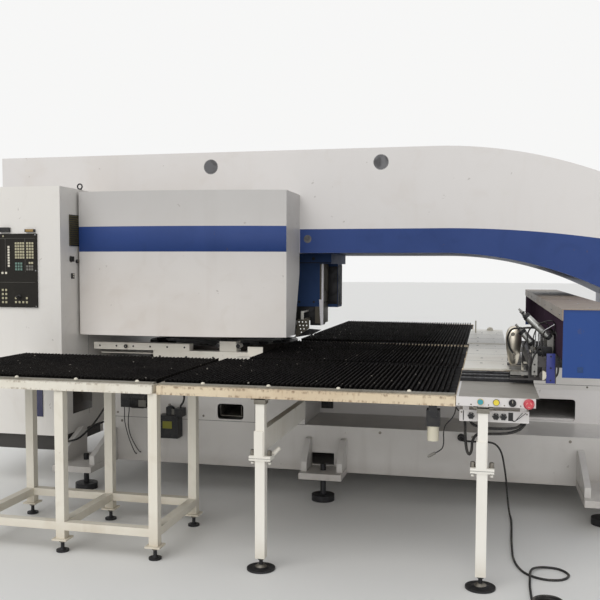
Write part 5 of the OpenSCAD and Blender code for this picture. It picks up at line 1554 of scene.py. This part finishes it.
@dataclass
class LegFrames:
    """The legs of the tables with their joints and screws."""

    main: tuple[Pair, ...] = ((-0.020, -2.570), (1.066, -2.570), (-0.330, 2.610), (0.850, 2.610))
    flange: float = 0.584
    screw: float = 0.044
    side_x: tuple[float, ...] = (-1.655, -1.130, -0.598)
    side_y: Pair = (-2.560, -1.980)

    def build(self, looks: Finishes) -> None:
        """Dresses the legs.

        Args:
            looks: The finishes of the press.
        """
        dress(looks.legs, "leg_supports")
        dress(looks.side_legs, "side_table_frame")
        nuts, seams, heads = Piece("leg_nuts"), Piece("leg_seams_and_nuts_in_shade"), Piece("leg_heads_in_shade")
        for x, y in self.main:
            out = -1 if y < 0 else 1
            for dx in (-self.screw, self.screw):
                stud = ((0, 13), (3, 13), (3, 11.5), (24, 11.5), (26, 9))
                nuts.lathe((x + dx, y, self.flange), UP, stud, 6, 11)
                # The nuts under the flange take the dark gap colour as painted shade
                seams.bolts(x + dx, y, self.flange - 0.024, DOWN, 10, 10)
            seams.block(about(x, 0.056), sorted((y + out * 0.034, y + out * 0.0343)), (0.5714, 0.5728))
            # Dark head plates under the rails, their darkness partly the plates and partly painted shade
            heads.block(about(x, 0.0295), about(y, 0.0292), (0.846, 0.8755), 1)
            heads.block(about(x, 0.046), about(y, 0.0292), (0.868, 0.8757), 1)
            nuts.lathe((x, y, 0.012), UP, ((0, 30), (4, 30), (14, 17)), 24)
        knob = Piece("leg_clamp")
        knob.lathe((0.024, -2.520, 0.574), (0.036, 0.030, 0.038), ((0, 9), (6, 11), (52, 11), (56, 8)), 20)
        knob.place(looks.rails_white, "white_paint")
        heads.place(looks.strip, "dark_metal")
        nuts.bolts(self.side_x, self.side_y, 0.052, UP, 14, 12).place(looks.zinc, "steel")
        seams.place(looks.gap, "dark_plastic")


@dataclass
class ButtonBar:
    """The push button bar, the terminal box behind it, the apron's rails and plates and the filter."""

    front: float = -2.600
    level: float = 0.902
    buttons: Pair = (1.053, 1.125)
    stop: float = 1.271
    heads: tuple[float, ...] = (0.953, 1.010, 1.090, 1.162, 1.235, 1.292)
    terminals: tuple[float, ...] = (1.010, 1.125, 1.160)
    joints: tuple[float, ...] = (-1.180, -0.760, -0.340, 0.520, 0.940, 1.300)
    plate_top: float = 0.941
    slots: tuple[Pair, ...] = (
        (1.033, 1.146), (1.005, 0.619), (1.009, 0.260), (1.011, -0.125), (1.014, -0.506), (1.048, -1.022),
        (1.047, -1.318),
    )

    def bar(self, looks: Finishes) -> None:
        """Dresses the bar with its buttons, and the terminal box behind it.

        Args:
            looks: The finishes of the press.
        """
        rim = ((0, 17.5), (5, 17.5), (8.4, 15.5), (8.4, 12.5), (2, 11.9))
        for name, x, finish, slot in (
            ("start_rim", self.buttons[0], looks.brass, "steel"),
            ("button_rims", self.buttons[1], looks.oxide, "dark_metal"),
        ):
            Piece(name).lathe((x, self.front, self.level), FRONT, rim, 34).place(finish, slot)
        mark = Piece("selector_mark")
        mark.block((1.1972, 1.1988), off(self.front, -26.6, -25.8), off(self.level, 2, 14), 0.2)
        mark.place(looks.white_cap, "panel_plastic", "selector")
        arrows = Piece("stop_arrows")
        for i in range(3):
            turns = [2 * math.pi * i / 3 + t * 0.28 for t in range(5)]
            depth, reach = self.front - 40.4 * MM, 11 * MM
            path = [(self.stop + reach * math.cos(a), depth, self.level + reach * math.sin(a)) for a in turns]
            arrows.tube(path, 0.7, 6)
        arrows.place(looks.white_cap, "panel_plastic", "stop_button")
        screws = Piece("bar_heads")
        screws.bolts(self.heads, self.front, 0.888, FRONT, 2.6, 1.8, 14)
        screws.bolts((0.965, 1.267), -2.540, 0.840, FRONT, 3, 2.4, 14).place(looks.zinc, "steel")
        ports = Piece("terminal_ports")
        for x in self.terminals:
            ports.lathe((x, -2.541, 0.8245), FRONT, ((0, 17), (6, 17), (6, 14), (15, 14)), 6, 12)
        ports.block((1.182, 1.204), (-2.5415, -2.539), (0.806, 0.846), 1)
        ports.block((0.972, 0.976), (-2.5408, -2.539), (0.801, 0.848))
        for start, end in ((1.196, 1.262), (1.200, 1.246)):
            bend = ((start + 0.012, -2.556, 0.808), ((start + end) / 2, -2.560, 0.822))
            ports.tube([(start, -2.544, 0.812), *bend, (end, -2.552, 0.848)], 1.6, 6)
        ports.place(looks.black, "dark_plastic")

    def apron(self, looks: Finishes) -> None:
        """Dresses the apron's sheet, plates and rails, and the filter's bowl.

        Args:
            looks: The finishes of the press.
        """
        top = self.plate_top
        sheet = Piece("apron_sheet").block((0.952, 1.320), (-2.5985, -2.0565), (0.9241, 0.9246), 0.2)
        sheet.place(looks.apron, "white_paint")
        dots = Piece("plate_slots")
        for x, y in self.slots:
            dots.lathe((x, y, top - MM), UP, ((0, 9), (1.4, 9), (2.4, 6)), 18)
            dots.lathe((x + 0.13, y - 0.04, top - MM), UP, ((0, 5), (1.4, 5), (2, 3)), 14)
        dots.place(looks.oxide, "dark_metal")
        seams = Piece("plate_seams")
        for y in self.joints:
            seams.block((0.949 if y < 0 else 0.931, 1.220), off(y, 0, 3), off(top, 0, 0.4))
        seams.place(looks.gap, "dark_plastic")
        holes = Piece("rail_holes")
        for i, j in product(range(3), range(13)):
            holes.lathe((0.960 + j * 0.029, -1.995 + i * 0.140, 0.9375), UP, ((0, 7), (1, 7), (1.6, 5)), 12)
        holes.place(looks.steel, "steel")
        dome = Piece("plate_knob").lathe((1.107, 1.500, top), UP, ((0, 30), (10, 30), (22, 24), (30, 10), (32, 0)), 26)
        dome.block((0.972, 0.984), (1.180, 1.192), (top, top + 0.11), 2).place(looks.white_cap, "white_paint")
        bowl = ((0, 29), (6, 29), (8, 28), (66, 27.8), (71, 27.3), (72, 22), (73, 8))
        Piece("filter_bowl").lathe((0.833, -2.560, 0.7715), DOWN, bowl, 30).place(looks.bowl, "panel_plastic")

    def build(self, looks: Finishes) -> None:
        """Dresses the bar and the apron.

        Args:
            looks: The finishes of the press.
        """
        dress(looks.frame, "button_bar")
        dress(looks.plates, "apron_plates")
        dress(looks.oxide, "apron_rails")
        dress(looks.teal, "start_button")
        dress(looks.yellow, "hold_button")
        dress(looks.black, "selector_knob", "air_filter")
        dress(looks.red, "stop_button")
        self.bar(looks)
        self.apron(looks)


@dataclass
class BeamDrive:
    """The cross beam with its cover, rails, screws and saddle."""

    cover_x: Pair = (1.420, 1.680)
    cover_y: Pair = (-2.544, 1.250)
    cover_z: Pair = (1.020, 1.335)
    skirt: float = 1.100
    joints: Pair = (-1.28, -0.02)
    saddle_x: tuple[float, ...] = (1.36, 1.45, 1.63, 1.72)
    saddle_y: tuple[float, ...] = (-0.39, -0.31, 0.39, 0.47)
    rails_y: Pair = (-0.350, 0.430)

    def build(self, looks: Finishes) -> None:
        """Dresses the cross beam.

        Args:
            looks: The finishes of the press.
        """
        dress(looks.frame, "saddle")
        dress(looks.navy, "crossbeam")
        dress(looks.beam, "beam_cover")
        # The top plate's colour holds painted reflection of the light as well as its paint
        dress(looks.lid, "beam_top_plate")
        dress(looks.steel, "x_rails")
        dress(looks.x_thread, "x_screw")
        dress(looks.y_thread, "y_screw")
        dress(looks.black, "y_motor")
        (x0, x1), (y0, y1), (z0, z1) = self.cover_x, self.cover_y, self.cover_z
        # The cover's left side is laid over in the darker blue as painted shade
        side = Piece("beam_side").block(off(x0, -0.8, -0.1), (y0 + 0.5 * MM, y1), (self.skirt, z1 - 0.050), 0.2)
        side.place(looks.beam_side, "blue_paint", "beam")
        along = [y0 + 0.12 + i * (y1 - y0 - 0.24) / 7 for i in range(8)]
        heads = Piece("cover_heads").bolts(x0 - 6 * MM, along, z1 - 0.025, LEFT, 4.5, 3, 16)
        heads.bolts(x1, along, z0 + 0.04, RIGHT, 4.5, 3, 16)
        heads.bolts((x0 + x1) / 2, along, z1 + 4 * MM, UP, 5, 2.6, 16).place(looks.screw, "steel", "beam")
        latch = Piece("beam_latch").block((1.487, 1.512), off(y0, -2, 1), (1.046, 1.071), 2)
        latch.place(looks.navy, "dark_plastic", "beam")
        seams = Piece("cover_seams")
        for y in self.joints:
            seams.block(off(x0, -1, -0.7), off(y, 0, 2), (self.skirt, z1 - 0.050))
            seams.block((x0 - 6 * MM, x1 + 6 * MM), off(y, 0, 2), off(z1, 4, 4.4))
        seams.place(looks.gap, "dark_plastic", "beam")
        bolts = Piece("saddle_bolts").bolts(self.saddle_x, self.saddle_y, 0.862, UP, 9, 8)
        bolts.place(looks.oxide, "dark_metal", "beam")
        rail = Piece("rail_bolts")
        for i, y in product(range(24), self.rails_y):
            rail.lathe((0.10 + i * 0.0735, y, 0.8095), UP, ((0, 7), (0.7, 7), (0.9, 5)), 14)
        rail.place(looks.oxide, "dark_metal")


@dataclass
class ClampCarriage:
    """The carriage with its clamps, canister, air cylinders, lines and plates."""

    arm_top: float = 1.086
    tank: Point = (1.229, -1.610, 0.972)
    # Height above its foot and radius, in millimetres
    tank_profile: tuple[Pair, ...] = (
        (-0.8, 8), (-0.8, 15.4), (3, 20.2), (17, 27.4), (36, 31.6), (55, 34.8), (76, 38.6), (98, 41.8), (120, 44),
        (140, 45.8), (160, 45.1), (180, 42.8), (194, 38.4), (205, 33.8), (213, 25.4), (219, 15.9), (221.8, 10),
        (221.8, 0),
    )
    # Foot x, y and z in metres, lean in degrees, length and radius in millimetres
    cylinders: tuple[tuple[float, ...], ...] = (
        (1.392, -2.150, 1.172, 47, 170, 16), (1.316, -2.010, 1.128, 42, 92, 18), (1.392, -1.890, 1.160, 47, 150, 14)
    )
    clamps: tuple[float, ...] = (-2.085, -1.850, -1.420)
    rail_heads: tuple[float, ...] = (-2.19, -1.98, -1.77, -1.56, -1.37)
    # Radius and route of each air line, in millimetres
    runs: tuple[tuple[float, tuple[Point, ...]], ...] = (
        (5.0, (
            (1420, -2105, 1155), (1412, -2150, 1200), (1422, -2210, 1190), (1424, -2262, 1130), (1426, -2268, 1060),
            (1424, -2245, 1000), (1412, -2200, 975),
        )),
        (4.0, (
            (1420, -2060, 1155), (1400, -2100, 1215), (1360, -2170, 1200), (1345, -2235, 1140), (1352, -2252, 1095),
            (1350, -2200, 1080),
        )),
        (4.0, (
            (1420, -2015, 1155), (1390, -2030, 1230), (1330, -2060, 1240), (1290, -2070, 1200), (1285, -2080, 1140),
            (1300, -2100, 1092),
        )),
        (5.5, (
            (1420, -1970, 1155), (1395, -1950, 1190), (1330, -1900, 1205), (1262, -1800, 1195), (1215, -1700, 1180),
            (1195, -1660, 1130), (1205, -1652, 1075), (1235, -1660, 1030),
        )),
        (3.0, (
            (1400, -2150, 1180), (1412, -2190, 1230), (1398, -2215, 1262), (1360, -2200, 1258), (1330, -2160, 1230),
            (1310, -2140, 1170), (1318, -2130, 1110),
        )),
        (3.5, (
            (1340, -1930, 1118), (1300, -1960, 1150), (1270, -2000, 1120), (1262, -2030, 1060), (1268, -2020, 1005),
        )),
        (4.5, (
            (1350, -2190, 1110), (1330, -2235, 1120), (1306, -2250, 1080), (1296, -2235, 1030), (1300, -2190, 985),
            (1320, -2150, 975),
        )),
        (4.0, (
            (1437, -1400, 1120), (1400, -1420, 1135), (1380, -1600, 1115), (1400, -1800, 1125), (1420, -1940, 1140),
        )),
    )

    def canister(self, looks: Finishes) -> None:
        """Dresses the brushed canister.

        Args:
            looks: The finishes of the press.
        """
        x, y, _ = self.tank
        skin = Piece("canister_skin").lathe(self.tank, UP, self.tank_profile, 48)
        skin.place(looks.stainless, "steel", "carriage")
        ahead = Vector((-0.13, -0.99, 0)).normalized()
        seat, port = Vector((x, y, 1.150)) + ahead * 41 * MM, Vector((x + 8 * MM, y, 1.001)) + ahead * 27 * MM
        boss = Piece("canister_boss").lathe(seat, ahead, ((0, 11), (5, 11), (7, 8), (7, 4), (5, 0)), 24)
        boss.place(looks.zinc, "steel", "carriage")
        hole = Piece("canister_port").lathe(port, ahead, ((0, 6), (2.5, 6), (3, 4), (1, 0)), 18)
        hole.place(looks.gap, "dark_plastic", "carriage")

    def slanted(self, looks: Finishes) -> None:
        """Dresses the slanted cylinders, and adds the rods beside them.

        Args:
            looks: The finishes of the press.
        """
        tubes, caps = Piece("cylinder_tubes"), Piece("cylinder_caps")
        for x, y, z, angle, length, r in self.cylinders:
            a = math.radians(angle)
            foot, way = Vector((x, y, z)), Vector((-math.sin(a), 0, math.cos(a)))
            tubes.lathe(foot + way * 16 * MM, way, ((0, r + 0.6), (length - 32, r + 0.6)), 26)
            for start in (-1.5, length - 17):
                cap = ((0, r + 1.5), (2, r + 3), (16, r + 3), (18, r + 1.5))
                caps.lathe(foot + way * start * MM, way, cap, 26)
            caps.bolts(*(foot + way * (length + 12) * MM), way, r * 0.6, 9)
        tubes.place(looks.tube_grey, "steel", "carriage")
        caps.place(looks.oxide, "dark_metal", "carriage")
        rods = Piece("feeler_rods")
        for at, way, profile in (
            ((1.357, -2.200, 1.212), (0.051, 0, 0.032), ((0, 2.4), (58, 2.4), (58, 5), (66, 5), (68, 3))),
            ((1.323, -2.100, 1.087), UP, ((0, 3), (140, 3))),
            ((1.339, -2.100, 1.087), UP, ((0, 4), (118, 4), (118, 2.5), (126, 2.5))),
            ((1.352, -2.040, 1.087), UP, ((0, 3), (95, 3))),
        ):
            rods.lathe(at, way, profile, 12)
        rods.tube([(1.340, -2.1, 1.205), (1.348, -2.16, 1.208), (1.357, -2.2, 1.212)], 2.4, 8)
        rods.place(looks.screw, "steel", "carriage")

    def plates(self, looks: Finishes) -> None:
        """Adds the holed plate, the blue plate and their screws.

        Args:
            looks: The finishes of the press.
        """
        outline = ((1.300, 0.990), (1.327, 0.990), (1.327, 1.098), (1.300, 1.098))
        holes = [circle(1.3135, z, 4.8 * MM, 12) for z in (1.008, 1.044, 1.080)]
        dark = Piece("holed_plate").plate(outline, holes, (-2.244, -2.238))
        dark.block((1.302, 1.325), (-2.239, -2.228), (1.050, 1.086), 1).place(looks.steel, "dark_metal", "carriage")
        blue = Piece("blue_plate").block((1.3705, 1.4125), (-2.2425, -2.2370), (0.951, 1.101), 1.5)
        blue.place(looks.blue_plate, "blue_paint", "carriage")
        heads = Piece("carriage_heads").bolts(1.3915, -2.2420, (0.966, 1.028, 1.086), FRONT, 3.2, 3)
        for y in self.clamps:
            heads.bolts(1.376, about(y, 0.02), self.arm_top, UP, 7, 6)
            heads.bolts(1.320, about(y, 0.02), self.arm_top, UP, 5.5, 5)
            heads.bolts(1.306, y - 0.035, 1.002, FRONT, 8, 5)
        heads.bolts(1.438, self.rail_heads, (1.236, 1.126), LEFT, 6, 5)
        heads.place(looks.oxide, "dark_metal", "carriage")

    def clamp_details(self, looks: Finishes) -> None:
        """Adds the jaws' pads, the half-round cap, the sensor's tube and the valves.

        Args:
            looks: The finishes of the press.
        """
        pads = Piece("jaw_pads")
        for y in self.clamps:
            pads.block((1.2015, 1.262), about(y, 0.021), (0.990, 0.9935), 1)
        pads.place(looks.zinc, "steel", "clamp_jaws")
        cap = Piece("round_cap")
        arc = [math.radians(-84 + 12 * i) for i in range(15)]
        for radius, y in ((0.0245, (-2.2400, -2.2340)), (0.0215, (-2.2430, -2.2398))):
            cap.plate([(1.3500 + radius * math.cos(a), 0.990 + radius * math.sin(a)) for a in arc], [], y)
        cap.place(looks.white_cap, "white_paint", "carriage")
        tube = Piece("sensor_tube").lathe((1.266, -2.000, 0.9865), UP, ((-30, 7), (20, 7), (43, 6)), 18)
        tube.block((1.262, 1.290), (-2.006, -1.994), (1.020, 1.030), 1)
        tube.place(looks.white_cap, "white_paint", "carriage")
        valves = Piece("valve_blocks")
        for i in range(5):
            y = -2.12 + i * 0.045
            valves.block((1.404, 1.437), off(y, 0, 36), (1.088, 1.150), 2)
            valves.block((1.408, 1.433), off(y, 5, 31), (1.149, 1.162), 1)
        valves.block((1.330, 1.400), (-2.19, -2.12), (1.086, 1.128), 3)
        valves.block((1.300, 1.352), (-1.96, -1.90), (1.086, 1.120), 3).place(looks.oxide, "dark_metal", "carriage")

    def hoses(self, looks: Finishes) -> None:
        """Runs the air lines between the cylinders, the canister and the valves.

        Args:
            looks: The finishes of the press.
        """
        lines, ends = Piece("air_lines"), Piece("line_fittings")
        for radius, route in self.runs:
            path = metres(route)
            lines.tube(path, radius, 9)
            for here, there in (path[:2], path[:-3:-1]):
                nut = ((-2, radius + 2), (9, radius + 2), (13, radius + 1))
                ends.lathe(here, Vector(there) - Vector(here), nut, 6, 10)
        lines.place(looks.rubber, "cable_black", "carriage")
        ends.place(looks.zinc, "steel", "carriage")

    def build(self, looks: Finishes) -> None:
        """Dresses the carriage.

        Args:
            looks: The finishes of the press.
        """
        dress(looks.dark_steel, "carriage")
        dress(looks.steel, "clamp_jaws", "air_cylinders")
        self.canister(looks)
        self.slanted(looks)
        self.plates(looks)
        self.clamp_details(looks)
        self.hoses(looks)


@dataclass
class FootSwitch:
    """The foot switch on its cable and the plug on the table's lead."""

    screws_x: Pair = (1.464, 1.570)
    screws_y: Pair = (-2.870, -2.790)

    def build(self, looks: Finishes) -> None:
        """Dresses the foot switch and the plug.

        Args:
            looks: The finishes of the press.
        """
        dress(looks.oxide, "foot_switch")
        dress(looks.yellow, "foot_pedal")
        dress(looks.grey_keys, "lead_connector")
        feet = Piece("switch_screws").bolts(self.screws_x, self.screws_y, 0.0255, UP, 3, 2.4, 14)
        feet.place(looks.screw, "steel")
        grip = Piece("pedal_ribs")
        low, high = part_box("foot_pedal")
        for i in range(6):
            x = low[0] + 0.030 + i * 0.012
            if x < high[0] - 0.012:
                grip.block(off(x, 0, 4), (low[1] + 8 * MM, high[1] - 8 * MM), off(high[2], -3, 0.6), 0.5)
        grip.place(looks.rubber, "dark_plastic", "foot_pedal")


def main() -> None:
    """Builds and dresses the press, piece by piece."""
    logging.basicConfig(level=logging.INFO, format="%(message)s")
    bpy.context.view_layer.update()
    looks = Finishes()
    Studio().build()
    for part in (
        Cords(), BridgeFrame(), TurretCover(), ControlCabinet(), PunchHead(), Undercarriage(), BrushTables(),
        LegFrames(), ButtonBar(), BeamDrive(), ClampCarriage(), FootSwitch(),
    ):
        part.build(looks)
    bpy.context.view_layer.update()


if __name__ == "__main__":
    main()
